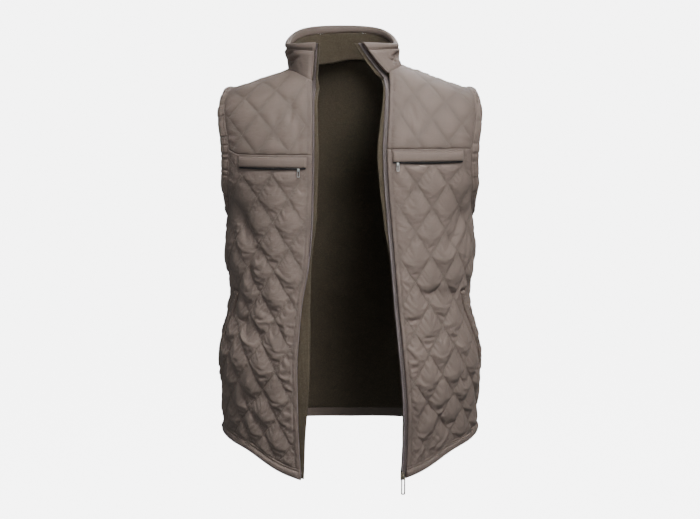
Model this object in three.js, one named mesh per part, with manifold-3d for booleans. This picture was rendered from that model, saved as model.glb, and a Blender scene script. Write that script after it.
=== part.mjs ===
import * as THREE from 'three';
import { mergeVertices } from 'three/addons/utils/BufferGeometryUtils.js';
import Module from 'manifold-3d';

// A quilted vest, worn open on a general figure. Millimetres, +Z up, the front faces -Y, and +X is
// the wearer's left. The origin is on the mid-line at the height of the high shoulder points.
// Every cloth piece is drawn on a flat pattern, as arc length round the body and height up the
// cloth, and is then laid on one body form.

// Quilting: diamonds sewn through shell and wadding, high in the middle and low on the stitches
const QUILT = { width: 56, height: 78, stitchWall: 2.6, puff: 6.2 };
const CELLS_PER_DIAMOND = 4;
const PUFF_SHARE = [0, 0.78, 1];
// The yokes are pulled almost flat over the chest
const YOKE_FULLNESS = 0.45;

// Gaps between neighbours, and the thin edge that a quilted piece has where it is sewn
const SEAM_GAP = 0.3;
const CURVED_SEAM_GAP = 0.9;
const LAID_GAP = 1;
const LINING_GAP = 1.4;

// Sections of the form from the hem to the chest: height up the side, half width, depth in front
// and behind, exponent of the rounded section, and the sag of the centre below the side
const SECTION_COLUMNS = ['height', 'halfWidth', 'frontDepth', 'backDepth', 'roundness', 'frontSag', 'backSag'];
const SECTIONS = [
  [0, 228, 172, 150, 1.85, 54, 12],
  [60, 228, 170, 148, 1.88, 51, 11],
  [160, 232, 164, 142, 2.0, 41, 8],
  [262, 211, 150, 130, 2.1, 26, 6],
  [340, 220, 141, 122, 2.25, 14, 3],
  [418, 216, 134, 118, 2.45, 4, 1],
  [463, 229, 130, 116, 2.6, 0, 0],
];
const HEM_SIDE_Z = -663;
const CHEST_HEIGHT = 463;
// The sag fades towards the side by this power below the chest, and the shoulders slope straight
const SAG_POWER = { body: 1.25, cap: 1 };

// The shoulder cap above the chest: share of the rise, half width, exponent
const CAP_COLUMNS = ['rise', 'halfWidth', 'roundness'];
const CAP_SECTIONS = [
  [0, 229, 2.6],
  [0.36, 231, 2.9],
  [0.72, 234, 3.2],
  [0.89, 227, 3.4],
  [1, 217, 3.5],
];
const RIDGE_CENTRE_Z = 35;
const RIDGE_TIP_Z = -42;
const CAP_POWER = { front: 0.75, back: 0.5 };

// Armhole, an upright oval seen from the side: where the panels end, and the binding's free edge
const ARMHOLE_SEAM = { halfDepth: 80, top: -37, bottom: -262 };
const ARMHOLE_EDGE = { halfDepth: 64, top: -43, bottom: -245 };
const ARMHOLE_STEPS = 40;
const BINDING_WALL = 4.4;
const GATHER_RISE = 0.7;

// Neck, an oval seen from above
const NECK = { centreX: -8, centreY: -12, halfWidth: 98, halfDepth: 88 };

// Hem binding
const HEM_BAND = { width: 17, wall: 4.6 };

// Front edges: height z against the distance from the mid-line of the quilted edge and of the
// free edge of the facing behind it
const EDGE_COLUMNS = ['z', 'panel', 'facing'];
const FRONT_EDGES = {
  right: [[-700, 84, 80], [-640, 88, 78], [-560, 90, 72], [-490, 90, 69], [-400, 82, 68],
    [-330, 71, 66], [-250, 66, 57], [-147, 64, 53], [-60, 64, 55], [-20, 64, 55]],
  left: [[-700, 95, 88], [-640, 98, 91], [-560, 97, 90], [-490, 91, 84], [-400, 82, 75],
    [-330, 76, 68], [-250, 69, 56], [-147, 62, 46], [-60, 66, 55], [-20, 67, 58]],
};
const ZIP_TAPE = { show: 6.5, tuck: 5, wall: 1.5 };
const FACING = { tuck: 14, wall: 1.8 };

// Chest seam and the welt under it
const CHEST_SEAM = { right: { z: -147, tipRise: 11 }, left: { z: -137, tipRise: -3 } };
const CHEST_WELT = {
  drop: 4, height: 17, wall: 3,
  right: { inner: 73, outer: 187 }, left: { inner: 71, outer: 190 },
};
const CHEST_ZIP = { height: 4, wall: 1.4 };

// Slanted side pocket welts: how far each end is from the side seam, and its height up the cloth
const SIDE_WELT = {
  width: 15, wall: 3, ribs: 16, ribRise: 0.8,
  right: { topInset: 62, topHeight: 276, bottomInset: 17, bottomHeight: 128 },
  left: { topInset: 66, topHeight: 278, bottomInset: 22, bottomHeight: 124 },
};

// Stand collar: the ends as angles from the centre back, low and high, and the height of the top
const COLLAR = {
  wall: 4.2, liningWall: 1.4, bandShare: 0.79, columns: 28,
  topCentreX: -15, topCentreY: 0, topHalfWidth: 98, topHalfDepth: 82,
  rightEnd: { low: -143, high: -152 }, leftEnd: { low: 132, high: 158 },
};
const COLLAR_TOP_COLUMNS = ['angle', 'z'];
const COLLAR_TOP = [[-45, 70], [0, 76], [45, 70], [90, 44], [120, 41], [160, 42]];
// Crumples: angle, share of the height, spread as an angle, spread as a share, and how deep
const COLLAR_CRUMPLES = [
  [-112, 0.45, 7, 0.2, 5],
  [-96, 0.7, 6, 0.2, -3],
  [104, 0.5, 8, 0.18, 7],
  [120, 0.25, 7, 0.2, -4],
  [88, 0.25, 7, 0.25, 4],
  [20, 0.5, 14, 0.3, 2],
];

// The largest folds of each panel: both ends as arc length and height, half breadth, depth
const FOLD_COLUMNS = ['arc0', 'height0', 'arc1', 'height1', 'breadth', 'depth'];
const FOLDS = {
  right: [
    [212, 436, 158, 336, 13, 7],
    [176, 352, 186, 298, 9, 5],
    [235, 250, 150, 205, 12, 4],
    [120, 150, 200, 96, 12, 4],
    [110, 560, 96, 610, 8, 3],
  ],
  left: [
    [214, 430, 170, 350, 13, 6],
    [120, 300, 205, 268, 12, 5],
    [216, 146, 226, 112, 9, 7],
    [150, 128, 124, 62, 10, 5],
    [158, 84, 190, 44, 10, 4],
    [112, 548, 98, 612, 9, 4],
  ],
  back: [
    [-205, 430, -120, 350, 15, 6],
    [205, 424, 128, 336, 14, 7],
    [-60, 250, 70, 222, 16, 4],
    [-170, 120, -130, 60, 12, 4],
    [150, 150, 196, 84, 12, 5],
  ],
};

// Metal: sliders with a bridge, and wire loops that hang from it and swing
const SLIDERS = {
  main: { width: 7, height: 13, thickness: 2.8, bridge: 2, bar: 1.2 },
  chest: { width: 4, height: 5.4, thickness: 1.6, bridge: 1.1, bar: 0.8 },
};
const PULLS = {
  main: { innerWidth: 3.6, wire: 1.8, length: 32 },
  chest: { innerWidth: 2.3, wire: 1.1, length: 12 },
};
const PULL_CLEARANCE = 0.35;
const SLIDER_PLACES = {
  main: { sheet: 'left', out: 89.6, z: -695 },
  chest_right: { sheet: 'right', out: 86 },
  chest_left: { sheet: 'left', out: 80 },
};

const COLOURS = { shell: 0x8b7d74, binding: 0x877970, olive: 0x6b5f48, tape: 0x827680, dark: 0x2b2624, metal: 0xb9b7b0 };

// Reads a table with named columns at any value of its first column, smoothly between its rows
function readTable(columns, rows, column, value) {
  const at = columns.indexOf(column);
  const last = rows.length - 1;
  const clamped = THREE.MathUtils.clamp(value, rows[0][0], rows[last][0]);
  let row = 0;
  while (row < last - 1 && clamped > rows[row + 1][0]) row += 1;
  const slope = (k) => {
    const low = rows[Math.max(k - 1, 0)];
    const high = rows[Math.min(k + 1, last)];
    return (high[at] - low[at]) / (high[0] - low[0]);
  };
  const span = rows[row + 1][0] - rows[row][0];
  const t = (clamped - rows[row][0]) / span;
  const fromLow = (1 + 2 * t) * (1 - t) ** 2 * rows[row][at] + t * (1 - t) ** 2 * span * slope(row);
  const fromHigh = t * t * (3 - 2 * t) * rows[row + 1][at] - t * t * (1 - t) * span * slope(row + 1);
  return fromLow + fromHigh;
}

function bisect(isLow, low, high) {
  let a = low;
  let b = high;
  for (let step = 0; step < 36; step += 1) {
    const middle = (a + b) / 2;
    if (isLow(middle)) a = middle;
    else b = middle;
  }
  return (a + b) / 2;
}

// One half of the body form, front or back. A place on it is a height up the cloth and either a
// distance from the mid-line or an arc length from it.
class BodyHalf {
  constructor(facing, name) {
    this.facing = facing;
    this.name = name;
    this.capPower = CAP_POWER[name];
    this.sections = new Map();
    this.capArcs = this.measureCap();
    this.topHeight = CHEST_HEIGHT + this.capArcs.at(-1);
  }

  // Arc length over the cap against its angle, measured half way along the shoulder
  measureCap() {
    const steps = 90;
    const rise = (RIDGE_CENTRE_Z + RIDGE_TIP_Z) / 2 - this.chestZ();
    const depth = readTable(SECTION_COLUMNS, SECTIONS, `${this.name}Depth`, CHEST_HEIGHT);
    const arcs = [0];
    for (let step = 1; step <= steps; step += 1) {
      const a = ((step - 1) / steps) * (Math.PI / 2);
      const b = (step / steps) * (Math.PI / 2);
      const inward = depth * (Math.cos(a) ** this.capPower - Math.max(Math.cos(b), 0) ** this.capPower);
      arcs.push(arcs.at(-1) + Math.hypot(inward, rise * (Math.sin(b) - Math.sin(a))));
    }
    return arcs;
  }

  chestZ() {
    return HEM_SIDE_Z + CHEST_HEIGHT;
  }

  capAngle(height) {
    const arc = THREE.MathUtils.clamp(height - CHEST_HEIGHT, 0, this.capArcs.at(-1));
    let step = 0;
    while (step < this.capArcs.length - 2 && arc > this.capArcs[step + 1]) step += 1;
    const share = (arc - this.capArcs[step]) / (this.capArcs[step + 1] - this.capArcs[step]);
    return ((step + share) / (this.capArcs.length - 1)) * (Math.PI / 2);
  }

  level(height) {
    if (height <= CHEST_HEIGHT) {
      const read = (column) => readTable(SECTION_COLUMNS, SECTIONS, column, height);
      const sideZ = HEM_SIDE_Z + height;
      return {
        halfWidth: read('halfWidth'), depth: read(`${this.name}Depth`), roundness: read('roundness'),
        centreZ: sideZ - read(`${this.name}Sag`), sideZ, power: SAG_POWER.body,
      };
    }
    const angle = this.capAngle(height);
    const rise = Math.sin(angle);
    const chestDepth = readTable(SECTION_COLUMNS, SECTIONS, `${this.name}Depth`, CHEST_HEIGHT);
    return {
      halfWidth: readTable(CAP_COLUMNS, CAP_SECTIONS, 'halfWidth', rise),
      depth: chestDepth * Math.max(Math.cos(angle), 0) ** this.capPower,
      roundness: readTable(CAP_COLUMNS, CAP_SECTIONS, 'roundness', rise),
      centreZ: this.chestZ() + (RIDGE_CENTRE_Z - this.chestZ()) * rise,
      sideZ: this.chestZ() + (RIDGE_TIP_Z - this.chestZ()) * rise,
      power: SAG_POWER.cap,
    };
  }

  // The point at a distance out from the mid-line
  outAt(height, out) {
    const { halfWidth, depth, roundness, centreZ, sideZ, power } = this.level(height);
    const share = Math.min(out / halfWidth, 1);
    const y = this.facing * depth * (1 - share ** roundness) ** (1 / roundness);
    return new THREE.Vector3(share * halfWidth, y, centreZ + (sideZ - centreZ) * share ** power);
  }

  section(height) {
    const key = height.toFixed(5);
    if (!this.sections.has(key)) {
      const steps = 56;
      const { halfWidth } = this.level(height);
      const points = [];
      for (let step = 0; step <= steps; step += 1) {
        points.push(this.outAt(height, halfWidth * Math.sin((step / steps) * (Math.PI / 2))));
      }
      const arcs = [0];
      for (let step = 1; step <= steps; step += 1) {
        arcs.push(arcs[step - 1] + points[step].distanceTo(points[step - 1]));
      }
      this.sections.set(key, { points, arcs });
    }
    return this.sections.get(key);
  }

  sideArc(height) {
    return this.section(height).arcs.at(-1);
  }

  alongAt(height, arc) {
    const { points, arcs } = this.section(height);
    let step = 0;
    while (step < arcs.length - 2 && arc > arcs[step + 1]) step += 1;
    const share = (arc - arcs[step]) / (arcs[step + 1] - arcs[step]);
    return points[step].clone().lerp(points[step + 1], Math.min(share, 1));
  }

  arcAtOut(height, out) {
    const { points, arcs } = this.section(height);
    let step = 0;
    while (step < points.length - 2 && out > points[step + 1].x) step += 1;
    const share = (out - points[step].x) / (points[step + 1].x - points[step].x);
    return arcs[step] + (arcs[step + 1] - arcs[step]) * Math.min(share, 1);
  }

  // The height at which a place a given distance out is at a given z
  heightAtZ(out, z) {
    return bisect((height) => this.outAt(height, out).z < z, 0, this.topHeight);
  }

  // Pattern place of the point that is seen from the side at depth y and height z
  placeFromSide(y, z) {
    const far = Math.abs(y);
    const outFor = (height) => {
      const { halfWidth, depth, roundness } = this.level(height);
      return far >= depth ? 0 : halfWidth * (1 - (far / depth) ** roundness) ** (1 / roundness);
    };
    const height = bisect((tried) => this.outAt(tried, outFor(tried)).z < z, 0, this.topHeight);
    return { height, arc: this.arcAtOut(height, outFor(height)) };
  }

  // Height z of the cap over a place in plan
  zOverPlan(out, y) {
    const height = bisect((tried) => Math.abs(this.outAt(tried, out).y) > Math.abs(y), CHEST_HEIGHT, this.topHeight);
    return this.outAt(height, out).z;
  }
}

const FRONT = new BodyHalf(-1, 'front');
const BACK = new BodyHalf(1, 'back');

// A sheet is the cloth on one part of the form: a front on one side, or the whole back, where the
// arc length is below 0 on the wearer's right
const SHEETS = {
  right: { half: FRONT, name: 'right', side: -1 },
  left: { half: FRONT, name: 'left', side: 1 },
  back: { half: BACK, name: 'back', side: 0 },
};

function layFlat(sheet, arc, height) {
  const point = sheet.half.alongAt(height, Math.abs(arc));
  const sign = sheet.side === 0 ? Math.sign(arc) : sheet.side;
  point.x *= sign;
  return point;
}

function outwardNormal(sheet, arc, height) {
  const reach = 3;
  const top = sheet.half.topHeight;
  const most = sheet.half.sideArc(height);
  const arcHigh = Math.min(arc + reach, most);
  const arcLow = Math.max(arc - reach, sheet.side === 0 ? -most : 0);
  const across = layFlat(sheet, arcHigh, height).sub(layFlat(sheet, arcLow, height));
  const heightHigh = Math.min(height + reach, top);
  const up = layFlat(sheet, arc, heightHigh).sub(layFlat(sheet, arc, height - reach));
  const normal = across.cross(up).normalize();
  return sheet.side === 1 ? normal : normal.negate();
}

function foldDepth(sheet, arc, height) {
  const column = (row, name) => row[FOLD_COLUMNS.indexOf(name)];
  let depth = 0;
  for (const fold of FOLDS[sheet.name]) {
    const start = new THREE.Vector2(column(fold, 'arc0'), column(fold, 'height0'));
    const run = new THREE.Vector2(column(fold, 'arc1'), column(fold, 'height1')).sub(start);
    const here = new THREE.Vector2(arc, height).sub(start);
    const share = here.dot(run) / run.lengthSq();
    const off = Math.abs(here.cross(run)) / run.length();
    const fade = Math.max(0, 1 - (2 * share - 1) ** 2);
    depth += column(fold, 'depth') * fade * Math.exp(-((off / column(fold, 'breadth')) ** 2));
  }
  return depth;
}

// The point of the cloth at a pattern place, lifted off the form
function drape(sheet, arc, height, lift) {
  const normal = outwardNormal(sheet, arc, height);
  return layFlat(sheet, arc, height).addScaledVector(normal, lift - foldDepth(sheet, arc, height));
}

// Pattern outlines. Each function is above 0 on the side that the piece keeps.
const outOf = (sheet, place) => Math.abs(layFlat(sheet, place.arc, place.height).x);
const hemLine = (sheet, place) => place.height - HEM_BAND.width - SEAM_GAP;
const sideSeam = (sheet, place) => sheet.half.sideArc(place.height) - Math.abs(place.arc) - SEAM_GAP / 2;
const shoulderSeam = (sheet, place) => sheet.half.topHeight - place.height - SEAM_GAP / 2;
const frontEdge = (sheet, place) => {
  const point = layFlat(sheet, place.arc, place.height);
  return Math.abs(point.x) - readTable(EDGE_COLUMNS, FRONT_EDGES[sheet.name], 'panel', point.z);
};
const neckLine = (sheet, place) => {
  const point = layFlat(sheet, place.arc, place.height);
  const across = (point.x - NECK.centreX) / NECK.halfWidth;
  return (Math.hypot(across, (point.y - NECK.centreY) / NECK.halfDepth) - 1) * NECK.halfDepth;
};
const armhole = (sheet, place) => {
  const point = layFlat(sheet, place.arc, place.height);
  const middle = (ARMHOLE_SEAM.top + ARMHOLE_SEAM.bottom) / 2;
  const up = (point.z - middle) / (ARMHOLE_SEAM.top - middle);
  return (Math.hypot(point.y / ARMHOLE_SEAM.halfDepth, up) - 1) * ARMHOLE_SEAM.halfDepth;
};

function chestSeamZ(sheet, out) {
  const { z, tipRise } = CHEST_SEAM[sheet.name];
  const towardsArm = THREE.MathUtils.smoothstep(out, CHEST_WELT[sheet.name].outer, CHEST_WELT[sheet.name].outer + 30);
  return z + tipRise * towardsArm;
}

const belowChestSeam = (sheet, place) => {
  const point = layFlat(sheet, place.arc, place.height);
  return chestSeamZ(sheet, Math.abs(point.x)) - SEAM_GAP / 2 - point.z;
};
const aboveChestSeam = (sheet, place) => -belowChestSeam(sheet, place) - SEAM_GAP;

// Where the quilting is pressed flat under what is sewn on it
function sideWeltLine(sheet, share) {
  const welt = SIDE_WELT[sheet.name];
  const height = THREE.MathUtils.lerp(welt.bottomHeight, welt.topHeight, share);
  const inset = THREE.MathUtils.lerp(welt.bottomInset, welt.topInset, share ** 1.3);
  return { arc: sheet.half.sideArc(height) - inset, height };
}

function pressed(sheet, place) {
  if (sheet.side === 0) return 0;
  const point = layFlat(sheet, place.arc, place.height);
  const out = Math.abs(point.x);
  const welt = CHEST_WELT[sheet.name];
  const below = chestSeamZ(sheet, out) - point.z;
  const underWelt = below > 0 && below < CHEST_WELT.drop + CHEST_WELT.height + CHEST_ZIP.height + 20
    && out > welt.inner - 16 && out < welt.outer + 18;
  const side = SIDE_WELT[sheet.name];
  const share = (place.height - side.bottomHeight) / (side.topHeight - side.bottomHeight);
  const inReach = share > -0.14 && share < 1.14;
  const line = sideWeltLine(sheet, THREE.MathUtils.clamp(share, 0, 1));
  const underSideWelt = inReach && Math.abs(place.arc - line.arc) < SIDE_WELT.width / 2 + 17;
  return underWelt || underSideWelt ? 1 : 0;
}

// Flat lattice of quilting. Its diagonals run along the stitch lines. It is cut to a pattern piece
// one outline at a time.
class QuiltPattern {
  constructor(sheet, bounds, phase, isFine) {
    this.sheet = sheet;
    this.places = [];
    this.triangles = [];
    const stepArc = QUILT.width / CELLS_PER_DIAMOND;
    const stepHeight = QUILT.height / CELLS_PER_DIAMOND;
    const firstColumn = Math.floor((bounds.arcMin - phase.arc) / stepArc);
    const lastColumn = Math.ceil((bounds.arcMax - phase.arc) / stepArc);
    const firstRow = Math.floor((bounds.heightMin - phase.height) / stepHeight);
    const lastRow = Math.ceil((bounds.heightMax - phase.height) / stepHeight);
    const toLine = (n) => {
      const rest = THREE.MathUtils.euclideanModulo(n, CELLS_PER_DIAMOND);
      return Math.min(rest, CELLS_PER_DIAMOND - rest);
    };
    const rowLength = lastColumn - firstColumn + 1;
    for (let row = firstRow; row <= lastRow; row += 1) {
      for (let column = firstColumn; column <= lastColumn; column += 1) {
        const puff = PUFF_SHARE[Math.min(toLine(column + row), toLine(column - row))];
        const place = { arc: phase.arc + column * stepArc, height: phase.height + row * stepHeight, puff };
        this.places.push(place);
      }
    }
    if (!isFine) {
      this.fillWithFans(rowLength, toLine, [firstColumn, lastColumn], [firstRow, lastRow]);
      return;
    }
    for (let row = firstRow; row < lastRow; row += 1) {
      for (let column = firstColumn; column < lastColumn; column += 1) {
        const corner = (row - firstRow) * rowLength + (column - firstColumn);
        const [a, b, c, d] = [corner, corner + 1, corner + 1 + rowLength, corner + rowLength];
        const falling = toLine(column + row + 1) === 0
          || (toLine(column - row) !== 0 && toLine(column + row + 1) < toLine(column - row));
        if (falling) this.triangles.push([a, b, d], [b, c, d]);
        else this.triangles.push([a, b, c], [a, c, d]);
      }
    }
  }

  // One fan of eight triangles from the middle of each diamond to its stitch lines
  fillWithFans(rowLength, toLine, columns, rows) {
    const middle = CELLS_PER_DIAMOND / 2;
    const ring = [[2, 0], [1, 1], [0, 2], [-1, 1], [-2, 0], [-1, -1], [0, -2], [1, -1]];
    for (let row = rows[0] + middle; row <= rows[1] - middle; row += 1) {
      for (let column = columns[0] + middle; column <= columns[1] - middle; column += 1) {
        if (toLine(column + row) !== middle || toLine(column - row) !== middle) continue;
        const centre = (row - rows[0]) * rowLength + (column - columns[0]);
        ring.forEach(([across, up], k) => {
          const [nextAcross, nextUp] = ring[(k + 1) % ring.length];
          this.triangles.push([centre, centre + up * rowLength + across, centre + nextUp * rowLength + nextAcross]);
        });
      }
    }
  }

  // The place where the outline crosses from one place to another
  crossing(keep, inside, outside) {
    const between = (t) => ({
      arc: THREE.MathUtils.lerp(inside.arc, outside.arc, t),
      height: THREE.MathUtils.lerp(inside.height, outside.height, t),
    });
    const share = bisect((t) => keep(this.sheet, between(t)) > 0, 0, 1);
    return { share, ...between(share), puff: 0, cut: true };
  }

  cutBy(keep, isCurved = false) {
    const sides = this.places.map((place) => keep(this.sheet, place));
    this.snapNearby(keep, sides);
    const cuts = new Map();
    const kept = [];
    for (const triangle of this.triangles) {
      if (!triangle.some((corner) => sides[corner] > 0)) continue;
      const outline = [];
      triangle.forEach((corner, k) => {
        const next = triangle[(k + 1) % 3];
        if (sides[corner] >= 0) outline.push(corner);
        if (sides[corner] * sides[next] < 0) {
          const [low, high] = [Math.min(corner, next), Math.max(corner, next)];
          const key = `${low}/${high}`;
          if (!cuts.has(key)) {
            const [inside, outside] = sides[low] > 0 ? [low, high] : [high, low];
            cuts.set(key, this.places.length);
            this.places.push(this.crossing(keep, this.places[inside], this.places[outside]));
          }
          outline.push(cuts.get(key));
        }
      });
      if (isCurved && outline.length > 2) this.followCurve(keep, outline, sides);
      for (let k = 1; k < outline.length - 1; k += 1) kept.push([outline[0], outline[k], outline[k + 1]]);
    }
    this.triangles = kept;
    return this;
  }

  // Puts one more place on a curved outline, half way along a cut, and starts the fan there
  followCurve(keep, outline, sides) {
    const isOnCurve = (corner) => corner >= sides.length || sides[corner] === 0;
    const first = outline.findIndex((corner, k) => isOnCurve(corner) && isOnCurve(outline[(k + 1) % outline.length]));
    if (first < 0) return;
    const [from, to] = [outline[first], outline[(first + 1) % outline.length]].map((corner) => this.places[corner]);
    const middle = new THREE.Vector2((from.arc + to.arc) / 2, (from.height + to.height) / 2);
    const run = new THREE.Vector2(to.arc - from.arc, to.height - from.height);
    const aside = new THREE.Vector2(-run.y, run.x).multiplyScalar(0.25);
    const at = (t) => ({ arc: middle.x + aside.x * t, height: middle.y + aside.y * t });
    const [plus, minus] = [keep(this.sheet, at(1)), keep(this.sheet, at(-1))];
    if (plus * minus >= 0) return;
    const [inside, outside] = plus > 0 ? [at(1), at(-1)] : [at(-1), at(1)];
    outline.splice(first + 1, 0, this.places.length);
    this.places.push(this.crossing(keep, inside, outside));
    outline.unshift(...outline.splice(first + 1));
  }

  // Moves a corner that lies close to the outline onto it, so that no sliver is cut
  snapNearby(keep, sides) {
    const close = 0.24;
    for (const triangle of this.triangles) {
      triangle.forEach((corner, k) => {
        const next = triangle[(k + 1) % 3];
        if (sides[corner] * sides[next] >= 0) return;
        const [inside, outside] = sides[corner] > 0 ? [corner, next] : [next, corner];
        const cut = this.crossing(keep, this.places[inside], this.places[outside]);
        const moved = cut.share < close ? inside : outside;
        const other = moved === inside ? outside : inside;
        if (cut.share >= close && cut.share <= 1 - close) return;
        if (this.places[moved].cut && !this.places[other].cut) return;
        this.places[moved] = cut;
        sides[moved] = 0;
      });
    }
  }

  // The wall: raised diamonds outside, the plain form inside, and a rim round every cut edge
  wall(fullness = 1) {
    const used = [...new Set(this.triangles.flat())];
    const rank = new Map(used.map((corner, k) => [corner, k]));
    const outer = used.map((corner) => {
      const place = this.places[corner];
      const puff = place.puff * (1 - pressed(this.sheet, place)) * QUILT.puff * fullness;
      return drape(this.sheet, place.arc, place.height, QUILT.stitchWall + puff);
    });
    const inner = used.map((corner) => drape(this.sheet, this.places[corner].arc, this.places[corner].height, 0));
    const faces = [];
    const edges = new Map();
    for (const triangle of this.triangles) {
      const [a, b, c] = triangle.map((corner) => rank.get(corner));
      faces.push([a, b, c], [a + used.length, c + used.length, b + used.length]);
      [[a, b], [b, c], [c, a]].forEach(([from, to]) => {
        if (edges.has(`${to}/${from}`)) edges.delete(`${to}/${from}`);
        else edges.set(`${from}/${to}`, [from, to]);
      });
    }
    for (const [from, to] of edges.values()) {
      faces.push([from, from + used.length, to + used.length], [from, to + used.length, to]);
    }
    return closedSolid([...outer, ...inner], faces);
  }
}

// A geometry from points and faces, turned so that its faces point out
function closedSolid(points, faces) {
  let volume = 0;
  for (const [a, b, c] of faces) volume += points[a].dot(points[b].clone().cross(points[c]));
  const index = faces.flatMap(([a, b, c]) => (volume > 0 ? [a, b, c] : [a, c, b]));
  const geometry = new THREE.BufferGeometry();
  geometry.setAttribute('position', new THREE.Float32BufferAttribute(points.flatMap((point) => point.toArray()), 3));
  geometry.setIndex(index);
  geometry.computeVertexNormals();
  return geometry;
}

// A strip: each row is a closed loop of points round the strip's section
function strip(rows, isRing) {
  const points = rows.flat();
  const size = rows[0].length;
  const faces = [];
  const spans = isRing ? rows.length : rows.length - 1;
  for (let row = 0; row < spans; row += 1) {
    const next = ((row + 1) % rows.length) * size;
    for (let k = 0; k < size; k += 1) {
      const after = (k + 1) % size;
      const [a, b, c, d] = [row * size + k, row * size + after, next + after, next + k];
      faces.push([a, b, c], [a, c, d]);
    }
  }
  if (!isRing) {
    const lastRow = (rows.length - 1) * size;
    for (let k = 0; k < size / 2 - 1; k += 1) {
      const [near, after, underAfter, under] = [k, k + 1, size - 2 - k, size - 1 - k];
      faces.push([near, after, underAfter].reverse(), [near, underAfter, under].reverse());
      faces.push([near, after, underAfter].map((corner) => corner + lastRow));
      faces.push([near, underAfter, under].map((corner) => corner + lastRow));
    }
  }
  return closedSolid(points, faces);
}

// Section of a strip from its columns: out along the face, back along the underside
function sectionLoop(columns, lift) {
  const face = columns.map((column, k) => lift(column, k, true));
  const underside = columns.map((column, k) => lift(column, k, false)).reverse();
  return [...face, ...underside];
}

const vest = new THREE.Group();
vest.name = 'quilted_vest';

function addPiece(name, geometry, colour, metalness = 0, roughness = 0.75) {
  const material = new THREE.MeshStandardMaterial({ color: colour, metalness, roughness });
  const mesh = new THREE.Mesh(geometry, material);
  mesh.name = name;
  vest.add(mesh);
  return mesh;
}

// Quilted panels
const CURVED_OUTLINES = [armhole, neckLine];
const QUILT_PHASE = {
  right: { arc: 20, height: 14 }, left: { arc: 0, height: -1 }, back: { arc: 0, height: 10 },
};

function frontPattern(name, outlines, fullness) {
  const sheet = SHEETS[name];
  const bounds = { arcMin: 40, arcMax: 340, heightMin: 0, heightMax: sheet.half.topHeight };
  const pattern = new QuiltPattern(sheet, bounds, QUILT_PHASE[name], true);
  outlines.forEach((outline) => pattern.cutBy(outline, CURVED_OUTLINES.includes(outline)));
  return pattern.wall(fullness);
}

function backPattern() {
  const sheet = SHEETS.back;
  const bounds = { arcMin: -380, arcMax: 380, heightMin: -50, heightMax: sheet.half.topHeight + 50 };
  const pattern = new QuiltPattern(sheet, bounds, QUILT_PHASE.back, false);
  [shoulderSeam, hemLine, sideSeam, armhole, neckLine].forEach((outline) => {
    pattern.cutBy(outline, CURVED_OUTLINES.includes(outline));
  });
  return pattern.wall();
}

for (const name of ['right', 'left']) {
  const lower = [hemLine, sideSeam, belowChestSeam, armhole, frontEdge];
  const upper = [shoulderSeam, aboveChestSeam, armhole, neckLine, frontEdge];
  addPiece(`front_${name}_lower`, frontPattern(name, lower), COLOURS.shell);
  addPiece(`front_${name}_yoke`, frontPattern(name, upper, YOKE_FULLNESS), COLOURS.shell);
}
addPiece('back', backPattern(), COLOURS.shell);

// Armhole bindings: gathered strips round both ovals
function ovalPoint(oval, angle) {
  const middle = (oval.top + oval.bottom) / 2;
  return { y: oval.halfDepth * Math.sin(angle), z: middle + (oval.top - middle) * Math.cos(angle) };
}

function armholeBinding(side) {
  const rows = [];
  const shares = [CURVED_SEAM_GAP / (ARMHOLE_SEAM.halfDepth - ARMHOLE_EDGE.halfDepth), 0.3, 0.75, 1];
  for (let step = 0; step < ARMHOLE_STEPS; step += 1) {
    const angle = ((step + 0.5) / ARMHOLE_STEPS) * Math.PI * 2;
    const ripple = GATHER_RISE * (step % 2 === 0 ? 1 : -1);
    const seam = ovalPoint(ARMHOLE_SEAM, angle);
    const edge = ovalPoint(ARMHOLE_EDGE, angle);
    const half = seam.y < 0 ? FRONT : BACK;
    const sheet = half === FRONT ? SHEETS[side < 0 ? 'right' : 'left'] : SHEETS.back;
    const lifts = [QUILT.stitchWall, BINDING_WALL + ripple, BINDING_WALL + ripple, BINDING_WALL / 2];
    rows.push(sectionLoop(shares, (share, k, isFace) => {
      const y = THREE.MathUtils.lerp(seam.y, edge.y, share);
      const z = THREE.MathUtils.lerp(seam.z, edge.z, share);
      const { arc, height } = half.placeFromSide(y, z);
      const signed = half === BACK ? side * arc : arc;
      return drape(sheet, signed, height, isFace ? lifts[k] : 0);
    }));
  }
  return strip(rows, true);
}

addPiece('armhole_binding_right', armholeBinding(-1), COLOURS.binding);
addPiece('armhole_binding_left', armholeBinding(1), COLOURS.binding);

// Hem binding: from the right front edge round the back to the left front edge
function edgeArc(sheet, height, column, inset = 0) {
  let out = 80;
  for (let pass = 0; pass < 4; pass += 1) {
    out = readTable(EDGE_COLUMNS, FRONT_EDGES[sheet.name], column, sheet.half.outAt(height, out).z) + inset;
  }
  return sheet.half.arcAtOut(height, out);
}

function hemBinding() {
  const frontSteps = 11;
  const backSteps = 22;
  const heights = [0, 3, HEM_BAND.width - 3, HEM_BAND.width];
  const lifts = [HEM_BAND.wall / 2, HEM_BAND.wall, HEM_BAND.wall, QUILT.stitchWall];
  const row = (sheet, share, fromEdge) => sectionLoop(heights, (height, k, isFace) => {
    const most = sheet.half.sideArc(height);
    const arc = fromEdge ? THREE.MathUtils.lerp(edgeArc(sheet, height, 'panel'), most, share) : most * share;
    return drape(sheet, arc, height, isFace ? lifts[k] : 0);
  });
  const rows = [];
  for (let k = 0; k < frontSteps; k += 1) rows.push(row(SHEETS.right, k / frontSteps, true));
  for (let k = 0; k <= backSteps; k += 1) rows.push(row(SHEETS.back, (2 * k) / backSteps - 1, false));
  for (let k = frontSteps - 1; k >= 0; k -= 1) rows.push(row(SHEETS.left, k / frontSteps, true));
  return strip(rows, false);
}

addPiece('hem_binding', hemBinding(), COLOURS.binding);

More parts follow.
